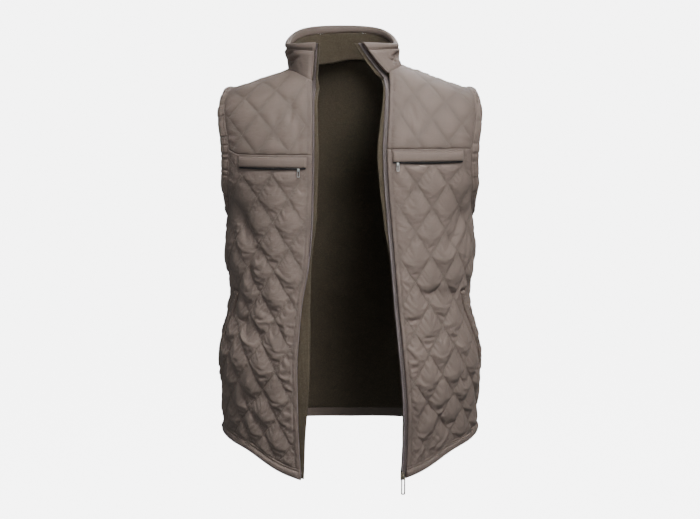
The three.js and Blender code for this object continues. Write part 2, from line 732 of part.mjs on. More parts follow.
// Collar surface. An angle of 0 is the centre back and above 0 is the wearer's left, and the share
// is 0 at the neck seam and 1 at the top.
function collarPoint(angle, share, inward) {
  const turn = THREE.MathUtils.degToRad(angle);
  const clear = CURVED_SEAM_GAP + 0.4;
  const lowX = NECK.centreX + (NECK.halfWidth - clear) * Math.sin(turn);
  const lowY = NECK.centreY + (NECK.halfDepth - clear) * Math.cos(turn);
  const half = lowY < 0 ? FRONT : BACK;
  const low = new THREE.Vector3(lowX, lowY, half.zOverPlan(Math.abs(lowX), lowY) - 1);
  const topX = COLLAR.topCentreX + COLLAR.topHalfWidth * Math.sin(turn);
  const topY = COLLAR.topCentreY + COLLAR.topHalfDepth * Math.cos(turn);
  const topZ = readTable(COLLAR_TOP_COLUMNS, COLLAR_TOP, 'z', Math.abs(angle));
  const point = low.lerp(new THREE.Vector3(topX, topY, topZ), share);
  const inwards = new THREE.Vector3(-Math.sin(turn), -Math.cos(turn), 0);
  let sink = 0;
  for (const [at, atShare, spread, spreadShare, depth] of COLLAR_CRUMPLES) {
    sink += depth * Math.exp(-(((angle - at) / spread) ** 2) - ((share - atShare) / spreadShare) ** 2);
  }
  const loose = Math.sin(Math.PI * Math.min(share * 1.2, 1));
  return point.addScaledVector(inwards, inward + sink * loose);
}

function collarAngle(share, around) {
  const right = THREE.MathUtils.lerp(COLLAR.rightEnd.low, COLLAR.rightEnd.high, share);
  const left = THREE.MathUtils.lerp(COLLAR.leftEnd.low, COLLAR.leftEnd.high, share);
  return THREE.MathUtils.lerp(right, left, around);
}

function collarStrip(shares, faceInward, underInward) {
  const rows = [];
  for (let column = 0; column <= COLLAR.columns; column += 1) {
    const around = column / COLLAR.columns;
    rows.push(sectionLoop(shares, (share, k, isFace) => (
      collarPoint(collarAngle(share, around), share, isFace ? faceInward[k] : underInward[k])
    )));
  }
  return strip(rows, false);
}

const COLLAR_SHARES = [0, 0.28, 0.56, 0.785];
const collarFace = [0, -0.8, -0.8, 0];
const collarWall = [COLLAR.wall * 0.7, COLLAR.wall, COLLAR.wall, COLLAR.wall * 0.8];
addPiece('collar', collarStrip(COLLAR_SHARES, collarFace, collarWall), COLOURS.shell);
const liningFace = collarWall.map((wall) => wall + LINING_GAP);
const liningUnder = liningFace.map((face) => face + COLLAR.liningWall);
const lining = collarStrip(COLLAR_SHARES, liningFace, liningUnder);
addPiece('collar_lining', lining, COLOURS.olive);
const band = collarStrip([COLLAR.bandShare, 0.84, 0.94, 0.99], [0.3, -1.8, -1.6, 0.8], [5.6, 7, 6.6, 4]);
addPiece('collar_binding', band, COLOURS.binding);

// Zip tapes and facings: they run behind the front edges and up the collar's ends
function edgeStrip(name, spec) {
  const sheet = SHEETS[name];
  const rows = [];
  const bodySteps = 24;
  const neckHeight = bisect((height) => {
    const place = { arc: edgeArc(sheet, height, 'panel'), height };
    return neckLine(sheet, place) > 0;
  }, CHEST_HEIGHT, sheet.half.topHeight);
  const ease = 34;
  for (let step = 0; step <= bodySteps; step += 1) {
    const height = THREE.MathUtils.lerp(1.5, neckHeight - 7, step / bodySteps);
    const back = THREE.MathUtils.smoothstep(height, neckHeight - 7 - ease, neckHeight - 7) * spec.collarStep;
    const inner = edgeArc(sheet, height, 'panel', spec.tuck);
    const outer = spec.free(sheet, height);
    rows.push(sectionLoop([outer, (outer + inner) / 2, inner], (arc, k, isFace) => (
      drape(sheet, arc, height, isFace ? -spec.lift - back : -spec.lift - spec.wall - back)
    )));
  }
  const end = sheet.side < 0 ? 0 : 1;
  for (const share of spec.collarShares) {
    const angle = collarAngle(share, end);
    const past = (angle > 0 ? 1 : -1) * spec.collarShow;
    const inside = (angle > 0 ? -1 : 1) * spec.collarTuck;
    rows.push(sectionLoop([angle + past, angle + (past + inside) / 2, angle + inside], (turn, k, isFace) => (
      collarPoint(turn, share, isFace ? spec.collarLift : spec.collarLift + spec.wall)
    )));
  }
  return strip(rows, false);
}

const END_SHARES = [0.08, 0.3, 0.55, 0.8, 0.97];
const collarBack = COLLAR.wall + COLLAR.liningWall + LINING_GAP;
for (const name of ['right', 'left']) {
  const tape = {
    tuck: ZIP_TAPE.tuck, wall: ZIP_TAPE.wall, lift: LAID_GAP, collarStep: collarBack + 2.4,
    free: (sheet, height) => edgeArc(sheet, height, 'panel', -ZIP_TAPE.show),
    collarShares: END_SHARES, collarShow: 3.6, collarTuck: 1.6, collarLift: collarBack + 2.3,
  };
  const facing = {
    tuck: FACING.tuck, wall: FACING.wall, lift: LAID_GAP + ZIP_TAPE.wall + 2 * SEAM_GAP, collarStep: collarBack + 2.4,
    free: (sheet, height) => edgeArc(sheet, height, 'facing'),
    collarShares: END_SHARES, collarShow: 5, collarTuck: 4,
    collarLift: collarBack + 2.3 + ZIP_TAPE.wall + SEAM_GAP,
  };
  addPiece(`zip_tape_${name}`, edgeStrip(name, tape), COLOURS.tape);
  addPiece(`facing_${name}`, edgeStrip(name, facing), COLOURS.olive);
}

// Chest welts and the dark zip in the slit under each
function chestStrip(name, top, height, wall, low) {
  const sheet = SHEETS[name];
  const { inner, outer } = CHEST_WELT[name];
  const steps = 9;
  const rows = [];
  for (let step = 0; step <= steps; step += 1) {
    const out = THREE.MathUtils.lerp(inner, outer, step / steps);
    const seamZ = chestSeamZ(sheet, out);
    const drops = [top, top + height / 2, top + height];
    rows.push(sectionLoop(drops, (drop, k, isFace) => {
      const at = sheet.half.heightAtZ(out, seamZ - drop);
      return drape(sheet, sheet.half.arcAtOut(at, out), at, isFace ? low + wall : low);
    }));
  }
  return strip(rows, false);
}

const LAID_ON = QUILT.stitchWall + LAID_GAP;
for (const name of ['right', 'left']) {
  const welt = chestStrip(name, CHEST_WELT.drop, CHEST_WELT.height, CHEST_WELT.wall, LAID_ON);
  addPiece(`chest_welt_${name}`, welt, COLOURS.binding);
  const zipTop = CHEST_WELT.drop + CHEST_WELT.height + SEAM_GAP;
  const zip = chestStrip(name, zipTop, CHEST_ZIP.height, CHEST_ZIP.wall, LAID_ON);
  addPiece(`chest_zip_${name}`, zip, COLOURS.dark);
}

// Side pocket welts, ribbed across
function sideWelt(name) {
  const sheet = SHEETS[name];
  const rows = [];
  const steps = SIDE_WELT.ribs * 2;
  for (let step = 0; step <= steps; step += 1) {
    const { arc, height } = sideWeltLine(sheet, step / steps);
    const rib = step % 2 === 0 ? 0 : SIDE_WELT.ribRise;
    const columns = [-SIDE_WELT.width / 2, 0, SIDE_WELT.width / 2];
    rows.push(sectionLoop(columns, (across, k, isFace) => (
      drape(sheet, arc + across, height, isFace ? LAID_ON + SIDE_WELT.wall + rib : LAID_ON)
    )));
  }
  return strip(rows, false);
}

addPiece('side_welt_right', sideWelt('right'), COLOURS.binding);
addPiece('side_welt_left', sideWelt('left'), COLOURS.binding);

// Sliders and pulls, drawn facing -Y with the hinge line of the pull along X
const wasm = await Module();
wasm.setup();

function toManifold(geometry) {
  geometry.deleteAttribute('normal');
  geometry.deleteAttribute('uv');
  const merged = mergeVertices(geometry, 1e-4);
  return new wasm.Manifold(new wasm.Mesh({
    numProp: 3, vertProperties: merged.attributes.position.array, triVerts: new Uint32Array(merged.index.array),
  }));
}

function fromManifold(solid) {
  const { vertProperties, triVerts } = solid.getMesh();
  const geometry = new THREE.BufferGeometry();
  geometry.setAttribute('position', new THREE.BufferAttribute(vertProperties, 3));
  geometry.setIndex(new THREE.BufferAttribute(triVerts, 1));
  geometry.computeVertexNormals();
  return geometry;
}

const tunnelSize = (kind) => PULLS[kind].wire * Math.SQRT2 + 2 * PULL_CLEARANCE;

// Block and bridge. The bridge is a staple in side view, with a tunnel between it and the block.
function sliderGeometry(kind) {
  const { width, height, thickness, bridge, bar } = SLIDERS[kind];
  const tunnel = tunnelSize(kind);
  const block = new THREE.BoxGeometry(width, thickness, height).translate(0, -thickness / 2, 0);
  const root = thickness - 0.4;
  const reach = thickness + tunnel + bar;
  const half = tunnel / 2;
  const outline = [
    [root, -half - bar], [reach - bar / 2, -half - bar], [reach, -half], [reach, half],
    [reach - bar / 2, half + bar], [root, half + bar], [root, half],
    [thickness + tunnel, half], [thickness + tunnel, -half], [root, -half],
  ];
  const shape = new THREE.Shape(outline.map(([out, up]) => new THREE.Vector2(out, up)));
  const staple = new THREE.ExtrudeGeometry(shape, { depth: bridge, bevelEnabled: false });
  const basis = new THREE.Matrix4().makeBasis(
    new THREE.Vector3(0, -1, 0), new THREE.Vector3(0, 0, 1), new THREE.Vector3(-1, 0, 0),
  );
  staple.translate(0, 0, -bridge / 2).applyMatrix4(basis);
  return fromManifold(toManifold(block).add(toManifold(staple)));
}

function roundedRectangle(path, halfWidth, top, bottom, radius) {
  path.moveTo(-halfWidth + radius, bottom);
  path.absarc(halfWidth - radius, bottom + radius, radius, -Math.PI / 2, 0, false);
  path.absarc(halfWidth - radius, top - radius, radius, 0, Math.PI / 2, false);
  path.absarc(-halfWidth + radius, top - radius, radius, Math.PI / 2, Math.PI, false);
  path.absarc(-halfWidth + radius, bottom + radius, radius, Math.PI, 1.5 * Math.PI, false);
  return path;
}

// A wire loop that hangs from the hinge line at its origin
function pullGeometry(kind) {
  const { innerWidth, wire, length } = PULLS[kind];
  const half = innerWidth / 2;
  const shape = roundedRectangle(new THREE.Shape(), half + wire, wire / 2, -length, wire);
  shape.holes.push(roundedRectangle(new THREE.Path(), half, -wire / 2, wire - length, wire * 0.4));
  const loop = new THREE.ExtrudeGeometry(shape, { depth: wire, bevelEnabled: false, curveSegments: 3 });
  return loop.translate(0, 0, -wire / 2).rotateX(Math.PI / 2);
}

// Sets a slider and its pull against the cloth, turned to face out from it
function addSlider(name, kind, lift) {
  const { sheet: sheetName, out, z } = SLIDER_PLACES[name];
  const sheet = SHEETS[sheetName];
  const { width, height: tall, thickness } = SLIDERS[kind];
  const underWelt = CHEST_WELT.drop + CHEST_WELT.height + 2 * SEAM_GAP + tall / 2;
  const centreZ = z ?? chestSeamZ(sheet, out) - underWelt;
  const height = sheet.half.heightAtZ(out, centreZ);
  const at = (across, up) => {
    const there = Math.max(height + up, 0);
    return drape(sheet, sheet.half.arcAtOut(there, out + across), there, lift);
  };
  const slope = at(width / 2, 0).sub(at(-width / 2, 0));
  const turn = Math.atan2(slope.y, slope.x * sheet.side) * sheet.side;
  const corners = [-1, 1].flatMap((side) => [-1, 0, 1].map((up) => at((side * width) / 2, (up * tall) / 2)));
  const facing = new THREE.Vector3(Math.sin(turn), -Math.cos(turn), 0);
  const centre = at(0, 0);
  const proud = Math.max(...corners.map((corner) => corner.clone().sub(centre).dot(facing)));
  const place = new THREE.Vector3(sheet.side * out, centre.y, centreZ).addScaledVector(facing, proud + SEAM_GAP);
  const slider = addPiece(`${name}_slider`, sliderGeometry(kind), COLOURS.metal, 1, 0.35);
  slider.position.copy(place);
  slider.rotation.z = turn;
  const pull = addPiece(`${name}_pull`, pullGeometry(kind), COLOURS.metal, 1, 0.3);
  pull.position.copy(place).addScaledVector(facing, thickness + tunnelSize(kind) / 2);
  pull.rotation.z = turn;
}

addSlider('main', 'main', -LAID_GAP);
addSlider('chest_right', 'chest', LAID_ON + CHEST_ZIP.wall);
addSlider('chest_left', 'chest', LAID_ON + CHEST_ZIP.wall);

export default vest;
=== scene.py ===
"""A quilted vest, worn open: its cloth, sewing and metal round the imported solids.

A pattern place is in millimetres: an arc length round the body and a height up the cloth. A mesh is
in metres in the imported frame, where the front faces -Y and +X is the wearer's left.
"""

from __future__ import annotations

import logging
import math
from collections.abc import Callable, Sequence
from dataclasses import dataclass, field
from enum import Enum

import bpy
import numpy as np
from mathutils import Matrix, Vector


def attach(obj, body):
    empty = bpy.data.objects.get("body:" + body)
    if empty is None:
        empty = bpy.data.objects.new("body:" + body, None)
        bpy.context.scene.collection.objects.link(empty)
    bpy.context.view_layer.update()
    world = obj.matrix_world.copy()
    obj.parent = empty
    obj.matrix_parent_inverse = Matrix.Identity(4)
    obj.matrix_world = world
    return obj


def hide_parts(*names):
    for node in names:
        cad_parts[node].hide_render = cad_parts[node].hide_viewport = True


log = logging.getLogger("vest")
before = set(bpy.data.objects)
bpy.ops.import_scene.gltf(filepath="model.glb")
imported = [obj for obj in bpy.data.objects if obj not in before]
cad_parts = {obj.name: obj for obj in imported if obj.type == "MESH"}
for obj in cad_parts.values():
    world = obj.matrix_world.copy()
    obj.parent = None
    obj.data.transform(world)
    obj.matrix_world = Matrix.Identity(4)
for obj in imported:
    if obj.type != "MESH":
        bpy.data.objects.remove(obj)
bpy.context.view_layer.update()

Array = np.ndarray
MM = 0.001
GARMENT = "garment"


class Side(Enum):
    """The wearer's right or left, or the whole back."""

    RIGHT = -1
    LEFT = 1
    BACK = 0

    @property
    def word(self) -> str:
        """The side's word in the names of pieces."""
        return self.name.lower()


@dataclass(frozen=True)
class Table:
    """Measures with named columns, read smoothly between the rows."""

    names: tuple[str, ...]
    rows: tuple[tuple[float, ...], ...]

    def read(self, name: str, value: Array | float) -> Array:
        """Reads a column at any value of the first one.

        Args:
            name: The column.
            value: Where to read it.

        Returns:
            The column's values there.
        """
        table = np.array(self.rows, float)
        keys, column = table[:, 0], table[:, self.names.index(name)]
        last = len(keys) - 1
        low = np.maximum(np.arange(last + 1) - 1, 0)
        high = np.minimum(np.arange(last + 1) + 1, last)
        slopes = (column[high] - column[low]) / (keys[high] - keys[low])
        at = np.clip(value, keys[0], keys[-1])
        row = np.clip(np.searchsorted(keys, at, side="left") - 1, 0, last - 1)
        span = keys[row + 1] - keys[row]
        t = (at - keys[row]) / span
        from_low = (1 + 2 * t) * (1 - t) ** 2 * column[row] + t * (1 - t) ** 2 * span * slopes[row]
        from_high = t**2 * (3 - 2 * t) * column[row + 1] - t**2 * (1 - t) * span * slopes[row + 1]
        return from_low + from_high


# The body form, close to that of the solids
SECTIONS = Table(
    ("height", "half_width", "front_depth", "back_depth", "roundness", "front_sag", "back_sag"),
    (
        (0, 228, 172, 150, 1.85, 54, 12),
        (60, 228, 170, 148, 1.88, 51, 11),
        (160, 232, 164, 142, 2.0, 41, 8),
        (262, 211, 150, 130, 2.1, 26, 6),
        (340, 220, 141, 122, 2.25, 14, 3),
        (418, 216, 134, 118, 2.45, 4, 1),
        (463, 229, 130, 116, 2.6, 0, 0),
    ),
)
CAP_SECTIONS = Table(
    ("rise", "half_width", "roundness"),
    ((0, 229, 2.6), (0.36, 231, 2.9), (0.72, 234, 3.2), (0.89, 227, 3.4), (1, 217, 3.5)),
)
HEM_SIDE_Z = -663.0
CHEST_HEIGHT = 463.0
CHEST_Z = HEM_SIDE_Z + CHEST_HEIGHT
BODY_SAG_POWER = 1.25
CAP_SAG_POWER = 0.6
CAP_ROUNDING = 0.12
# How far the hem's corners are pulled up, and how much more in front
CORNER_RISE = 8.0
CORNER_BOW = 5.0
RIDGE_CENTRE_Z = 35.0
RIDGE_TIP_Z = -42.0
FRONT_CAP_POWER = 0.75
BACK_CAP_POWER = 0.5

# Front edges: height z against the distance from the mid-line of the panel's and the facing's edge
EDGE_NAMES = ("z", "panel", "facing")
FRONT_EDGES = {
    Side.RIGHT: Table(EDGE_NAMES, (
        (-700, 84, 80), (-640, 88, 78), (-560, 90, 72), (-490, 90, 69), (-400, 82, 68),
        (-330, 71, 66), (-250, 66, 57), (-147, 64, 53), (-60, 64, 55), (-20, 64, 55),
    )),
    Side.LEFT: Table(EDGE_NAMES, (
        (-700, 95, 88), (-640, 98, 91), (-560, 97, 90), (-490, 91, 84), (-400, 82, 75),
        (-330, 76, 68), (-250, 69, 56), (-147, 62, 46), (-60, 66, 55), (-20, 67, 58),
    )),
}

# Quilting, as flat sizes, and how high the cloth lies on the stitches and between them
DIAMOND_WIDTH = 56.0
DIAMOND_HEIGHT = 78.0
STITCH_LIFT = 2.6
PUFF = 6.4
# The cloth simulation: spare cloth between the stitches, pressure, weight and length
SPARE_CLOTH = 0.045
SAG_GRAVITY = 1.2
SWELL_FRAMES = 16
SWELL_SETTINGS = {
    "quality": 4, "mass": 0.3, "air_damping": 2, "use_pressure": True, "uniform_pressure_force": 220.0,
    "tension_stiffness": 6, "compression_stiffness": 6, "shear_stiffness": 3, "bending_stiffness": 0.002,
}
MOST_SLIDE = 1.8
YOKE_FULLNESS = 0.3
# Pillows: how blunt they are, how far from an edge they are full, how much more they swell low down, and
# how high the cloth stands at least between its stitches
PILLOW_POWER = 0.52
EDGE_REACH = 16.0
PILLOW_SAG = 0.12
LEAST_PUFF = 0.15
# Puckers beside the stitches: their depth and how many a diamond has
PUCKER_DEPTH = 0.9
PUCKERS = 14.0
# Waves in loose cloth: depth, width and height
WAVES = ((0.35, 17.0, 23.0), (0.16, 7.0, 9.0))
# Gathers beside the armhole and the front edge: depth, and how far they reach from the armhole
ARMHOLE_GATHER = 1.5
ARMHOLE_GATHER_REACH = 13.0
EDGE_GATHER_PITCH = 6.5
# Sagging creases low in the diamonds: depth, half breadth, and the level and spread of each
SMILE_DEPTH = 1.9
SMILE_BREADTH = 2.7
SMILES = ((-0.22, 0.17), (-0.08, 0.13))
SMILE_FADE = (230.0, 430.0)
# Puckered bands beside the front edge: depth, middle and breadth
EDGE_BANDS = ((1.0, 3.2, 2.4), (0.8, 12.0, 6.5))
# How high the simulated cloth starts, and how near its stitches shade is painted into its colour
START_SHARE = 0.55
PAINTED_SHADE_REACH = 1.5
# The heights between which the lower fronts grow flatter, and by how much
CALM_FROM = 230.0
CALM_TO = 420.0
CALM_SHARE = 0.55
QUILT_PHASE = {Side.RIGHT: (20.0, 14.0), Side.LEFT: (0.0, -1.0), Side.BACK: (0.0, 10.0)}

# Seams and outlines
SEAM_GAP = 0.3
SEAM_LAP = 0.05
COLLAR_SEAM_GAP = 1.3
HEM_WIDTH = 17.0
NECK_CENTRE = (-8.0, -12.0)
NECK_HALF = (98.0, 88.0)
ARMHOLE_SEAM = (80.0, -37.0, -262.0)
ARMHOLE_EDGE = (64.0, -43.0, -245.0)
CHEST_SEAM = {Side.RIGHT: (-147.0, 11.0), Side.LEFT: (-137.0, -3.0)}
CHEST_WELT = {Side.RIGHT: (73.0, 187.0), Side.LEFT: (71.0, 190.0)}
CHEST_WELT_DROP = 4.0
CHEST_WELT_HEIGHT = 17.0
CHEST_ZIP_HEIGHT = 4.0
TOP_STITCH_INSET = 6.5
LAID_ON = STITCH_LIFT + 1.0
# How high a welt's underside and its edges lie, and how thick its folded cloth is
WELT_UNDER = LAID_ON - 1.2
WELT_EDGE = LAID_ON - 1.0
WELT_BODY = 0.8
# How far past what is sewn on it the quilting is held down, below, beside it and as a share of its length
PRESSED_BELOW = 3.0
PRESSED_BESIDE = 4.0
PRESSED_SHARE = 0.03
SIDE_WELT_WIDTH = 15.0
# Side pocket welts: inset from the side seam and height, at the top and at the bottom
SIDE_WELT = {Side.RIGHT: (62.0, 276.0, 17.0, 128.0), Side.LEFT: (66.0, 278.0, 22.0, 124.0)}

# The largest folds, as in the solids: both ends as arc and height, half breadth, depth
FOLDS = {
    Side.RIGHT: (
        (212, 436, 158, 336, 13, 7), (176, 352, 186, 298, 9, 5), (235, 250, 150, 205, 12, 4),
        (120, 150, 200, 96, 12, 4), (110, 560, 96, 610, 8, 3),
    ),
    Side.LEFT: (
        (214, 430, 170, 350, 13, 6), (120, 300, 205, 268, 12, 5), (216, 146, 226, 112, 9, 7),
        (150, 128, 124, 62, 10, 5), (158, 84, 190, 44, 10, 4), (112, 548, 98, 612, 9, 4),
    ),
    Side.BACK: (
        (-205, 430, -120, 350, 15, 6), (205, 424, 128, 336, 14, 7), (-60, 250, 70, 222, 16, 4),
        (-170, 120, -130, 60, 12, 4), (150, 150, 196, 84, 12, 5),
    ),
}
# Creases finer than the solids have, in the same columns
CREASES = {
    Side.RIGHT: (
        (196, 420, 170, 372, 4, 2.2), (224, 402, 206, 330, 5, 2.4), (150, 330, 205, 318, 4, 1.6),
        (190, 268, 120, 250, 4, 1.4), (96, 100, 140, 60, 4, 1.6), (180, 60, 214, 110, 4, 1.8),
        (170, 56, 205, 100, 6, 3.0), (150, 38, 174, 78, 5, 2.6), (186, 124, 216, 84, 6, 3.0),
        (192, 30, 218, 62, 6, 2.6), (92, 86, 112, 68, 4, 2.8), (92, 62, 108, 50, 4, 2.4),
        (92, 152, 110, 134, 4, 2.4), (106, 618, 102, 566, 6, 2.2), (128, 606, 122, 536, 9, 1.8),
        (90, 600, 86, 500, 6, 1.5), (190, 560, 232, 566, 5, 1.8), (196, 538, 228, 552, 5, 1.6),
    ),
    Side.LEFT: (
        (206, 412, 186, 372, 4, 2.2), (228, 392, 214, 318, 5, 2.6), (140, 316, 200, 296, 4, 1.8),
        (212, 232, 152, 214, 4, 1.6), (140, 110, 120, 70, 4, 2.2), (176, 74, 206, 50, 4, 1.6),
        (106, 22, 150, 64, 5, 3.2), (120, 14, 166, 54, 5, 3.0), (102, 44, 134, 88, 5, 2.6),
        (134, 16, 190, 46, 5, 2.6), (150, 96, 190, 104, 5, 2.4), (176, 128, 212, 96, 6, 2.6),
        (106, 606, 114, 566, 5, 2.2), (118, 596, 126, 548, 7, 1.8), (92, 566, 97, 480, 6, 1.5),
        (196, 520, 236, 512, 5, 1.8), (194, 498, 234, 486, 5, 2.0),
    ),
    Side.BACK: (
        (-190, 420, -140, 370, 5, 2), (190, 414, 140, 352, 5, 2), (-90, 560, 80, 556, 7, 1.6),
        (-40, 200, 60, 180, 5, 1.6), (-150, 96, -110, 50, 5, 1.6), (120, 120, 176, 70, 5, 1.6),
    ),
}


def smooth_share(low: float, high: float, value: Array | float) -> Array:
    """Gives 0 at low and 1 at high, with soft ends."""
    t = np.clip((np.asarray(value, float) - low) / (high - low), 0, 1)
    return t * t * (3 - 2 * t)


def halve(is_low: Callable[[Array], Array], low: Array, high: Array, steps: int = 30) -> Array:
    """Finds where a test stops being true, for many places at once.

    Args:
        is_low: The test, true at low and false at high.
        low: Where each search starts.
        high: Where each search ends.
        steps: How often the span is halved.

    Returns:
        The value at each place.
    """
    low, high = np.array(low, float), np.array(high, float)
    for _ in range(steps):
        middle = (low + high) / 2
        below = is_low(middle)
        low = np.where(below, middle, low)
        high = np.where(below, high, middle)
    return (low + high) / 2


class SoftNoise:
    """Smooth seeded noise on a plane, from -1 to 1."""

    def __init__(self, seed: int) -> None:
        """Draws the noise's lattice.

        Args:
            seed: What makes the draw the same each run.
        """
        self.values = np.random.default_rng(seed).uniform(-1, 1, (128, 128))

    def at(self, x: Array, y: Array | float = 0.0) -> Array:
        """Gives the noise at places whose lattice is one unit wide."""
        x, y = np.broadcast_arrays(np.asarray(x, float), np.asarray(y, float))
        column, row = np.floor(x).astype(int), np.floor(y).astype(int)
        across, up = x - column, y - row
        across = across * across * (3 - 2 * across)
        up = up * up * (3 - 2 * up)
        size = len(self.values)
        a = self.values[row % size, column % size]
        b = self.values[row % size, (column + 1) % size]
        c = self.values[(row + 1) % size, column % size]
        d = self.values[(row + 1) % size, (column + 1) % size]
        return (a * (1 - across) + b * across) * (1 - up) + (c * (1 - across) + d * across) * up


@dataclass(frozen=True)
class Level:
    """The form's section at a height."""

    half_width: Array
    depth: Array
    roundness: Array
    centre_z: Array
    side_z: Array
    power: Array


class BodyHalf:
    """The front or back half of the form that the vest is worn on."""

    ROWS = 361
    COLUMNS = 181
    STEPS = 241

    def __init__(self, facing: int, name: str, cap_power: float) -> None:
        """Measures the half once, on a fine grid.

        Args:
            facing: -1 for the front and 1 for the back.
            name: The word of its columns in SECTIONS.
            cap_power: How square the shoulder cap is in side view.
        """
        self.facing = facing
        self.name = name
        self.cap_power = cap_power
        self.cap_angles = np.linspace(0, math.pi / 2, 91)
        rise = (RIDGE_CENTRE_Z + RIDGE_TIP_Z) / 2 - CHEST_Z
        inward = self._chest_depth() * np.maximum(np.cos(self.cap_angles), 0) ** cap_power
        lengths = np.hypot(np.diff(inward), rise * np.diff(np.sin(self.cap_angles)))
        self.cap_arcs = np.concatenate([[0], np.cumsum(lengths)])
        self.top = CHEST_HEIGHT + self.cap_arcs[-1]
        heights = np.linspace(0, self.top, self.ROWS)[:, None]
        sines = np.sin(np.linspace(0, math.pi / 2, self.STEPS))
        points = self.out_at(heights, self.level(heights).half_width * sines)
        gaps = np.linalg.norm(np.diff(points, axis=1), axis=2)
        self.arcs = np.concatenate([np.zeros((self.ROWS, 1)), np.cumsum(gaps, axis=1)], axis=1)
        shares = np.linspace(0, 1, self.COLUMNS)
        self.points = np.array([
            [np.interp(shares * arcs[-1], arcs, row[:, axis]) for axis in range(3)]
            for arcs, row in zip(self.arcs, points)
        ]).transpose(0, 2, 1)
        across, up = np.gradient(self.points, axis=1), np.gradient(self.points, axis=0)
        normals = -facing * np.cross(across, up)
        self.normals = normals / np.linalg.norm(normals, axis=2, keepdims=True)

    def _chest_depth(self) -> float:
        """The half's depth at the chest."""
        return float(SECTIONS.read(f"{self.name}_depth", CHEST_HEIGHT))

    def level(self, height: Array) -> Level:
        """Gives the sections at some heights up the cloth."""
        height = np.asarray(height, float)
        is_body = height <= CHEST_HEIGHT
        over = np.clip(height - CHEST_HEIGHT, 0, self.cap_arcs[-1])
        angle = np.interp(over, self.cap_arcs, self.cap_angles)
        rise = np.sin(angle)
        body_side = HEM_SIDE_Z + height
        body = {name: SECTIONS.read(name, height) for name in SECTIONS.names[1:]}
        cap_depth = self._chest_depth() * np.maximum(np.cos(angle), 0) ** self.cap_power
        return Level(
            np.where(is_body, body["half_width"], CAP_SECTIONS.read("half_width", rise)),
            np.where(is_body, body[f"{self.name}_depth"], cap_depth),
            np.where(is_body, body["roundness"], CAP_SECTIONS.read("roundness", rise)),
            np.where(
                is_body, body_side - body[f"{self.name}_sag"], CHEST_Z + (RIDGE_CENTRE_Z - CHEST_Z) * rise,
            ),
            np.where(is_body, body_side, CHEST_Z + (RIDGE_TIP_Z - CHEST_Z) * rise),
            np.where(is_body, BODY_SAG_POWER, CAP_SAG_POWER),
        )

    def out_at(self, height: Array, out: Array) -> Array:
        """Gives the points at distances out from the mid-line."""
        level = self.level(height)
        share = np.minimum(out / level.half_width, 1)
        y = self.facing * level.depth * (1 - share**level.roundness) ** (1 / level.roundness)
        bend = np.where(np.asarray(height) > CHEST_HEIGHT, CAP_ROUNDING, 0)
        least = bend**level.power
        most = (1 + bend**2) ** (level.power / 2)
        drop = ((share**2 + bend**2) ** (level.power / 2) - least) / (most - least)
        z = level.centre_z + (level.side_z - level.centre_z) * drop
        near_hem = 1 - smooth_share(0, 150, height)
        bow = CORNER_BOW * np.exp(-(((share - 0.76) / 0.14) ** 2)) * (self.facing < 0)
        z = z + near_hem * (CORNER_RISE * smooth_share(0.45, 0.85, share) + bow)
        return np.stack(np.broadcast_arrays(share * level.half_width, y, z), axis=-1)

    def _mixed(self, grid: Array, row: Array, column: Array) -> Array:
        """Reads a grid between its rows and columns."""
        low = np.clip(row.astype(int), 0, grid.shape[0] - 2)
        left = np.clip(column.astype(int), 0, grid.shape[1] - 2)
        up, across = row - low, column - left
        if grid.ndim == 3:
            up, across = up[..., None], across[..., None]
        near = grid[low, left] * (1 - across) + grid[low, left + 1] * across
        far = grid[low + 1, left] * (1 - across) + grid[low + 1, left + 1] * across
        return near * (1 - up) + far * up

    def _row(self, height: Array) -> Array:
        """The grid's row at a height, with its fraction."""
        return np.clip(np.asarray(height, float) / self.top, 0, 1) * (self.ROWS - 1)

    def side_arc(self, height: Array | float) -> Array:
        """The arc length from the mid-line to the side."""
        return np.interp(self._row(height), np.arange(self.ROWS), self.arcs[:, -1])

    def place(self, arc: Array, height: Array) -> tuple[Array, Array]:
        """Gives the points and outward normals at pattern places."""
        arc, height = np.broadcast_arrays(np.asarray(arc, float), np.asarray(height, float))
        row = self._row(height)
        column = np.clip(arc / self.side_arc(height), 0, 1) * (self.COLUMNS - 1)
        normals = self._mixed(self.normals, row, column)
        return self._mixed(self.points, row, column), normals

    def arc_at_out(self, height: Array, out: Array) -> Array:
        """The arc length at distances out from the mid-line."""
        height, out = np.broadcast_arrays(np.asarray(height, float), np.asarray(out, float))
        sine = np.clip(out / self.level(height).half_width, 0, 1)
        column = np.arcsin(sine) / (math.pi / 2) * (self.STEPS - 1)
        return self._mixed(self.arcs, self._row(height), column)

    def height_at_z(self, out: Array, z: Array) -> Array:
        """The height at which places some distance out are at z."""
        out, z = np.broadcast_arrays(np.asarray(out, float), np.asarray(z, float))
        full = np.full(out.shape, self.top)
        return halve(lambda height: self.out_at(height, out)[..., 2] < z, 0 * full, full)

    def from_side(self, y: Array, z: Array) -> tuple[Array, Array]:
        """The arc and height of points seen from the side at depth y and height z."""
        y, z = np.broadcast_arrays(np.abs(np.asarray(y, float)), np.asarray(z, float))

        def out_for(height: Array) -> Array:
            """How far out the form is at depth y."""
            level = self.level(height)
            share = np.minimum(y / np.maximum(level.depth, 1e-6), 1)
            return level.half_width * (1 - share**level.roundness) ** (1 / level.roundness)

        full = np.full(y.shape, self.top)
        height = halve(lambda tried: self.out_at(tried, out_for(tried))[..., 2] < z, 0 * full, full)
        return self.arc_at_out(height, out_for(height)), height

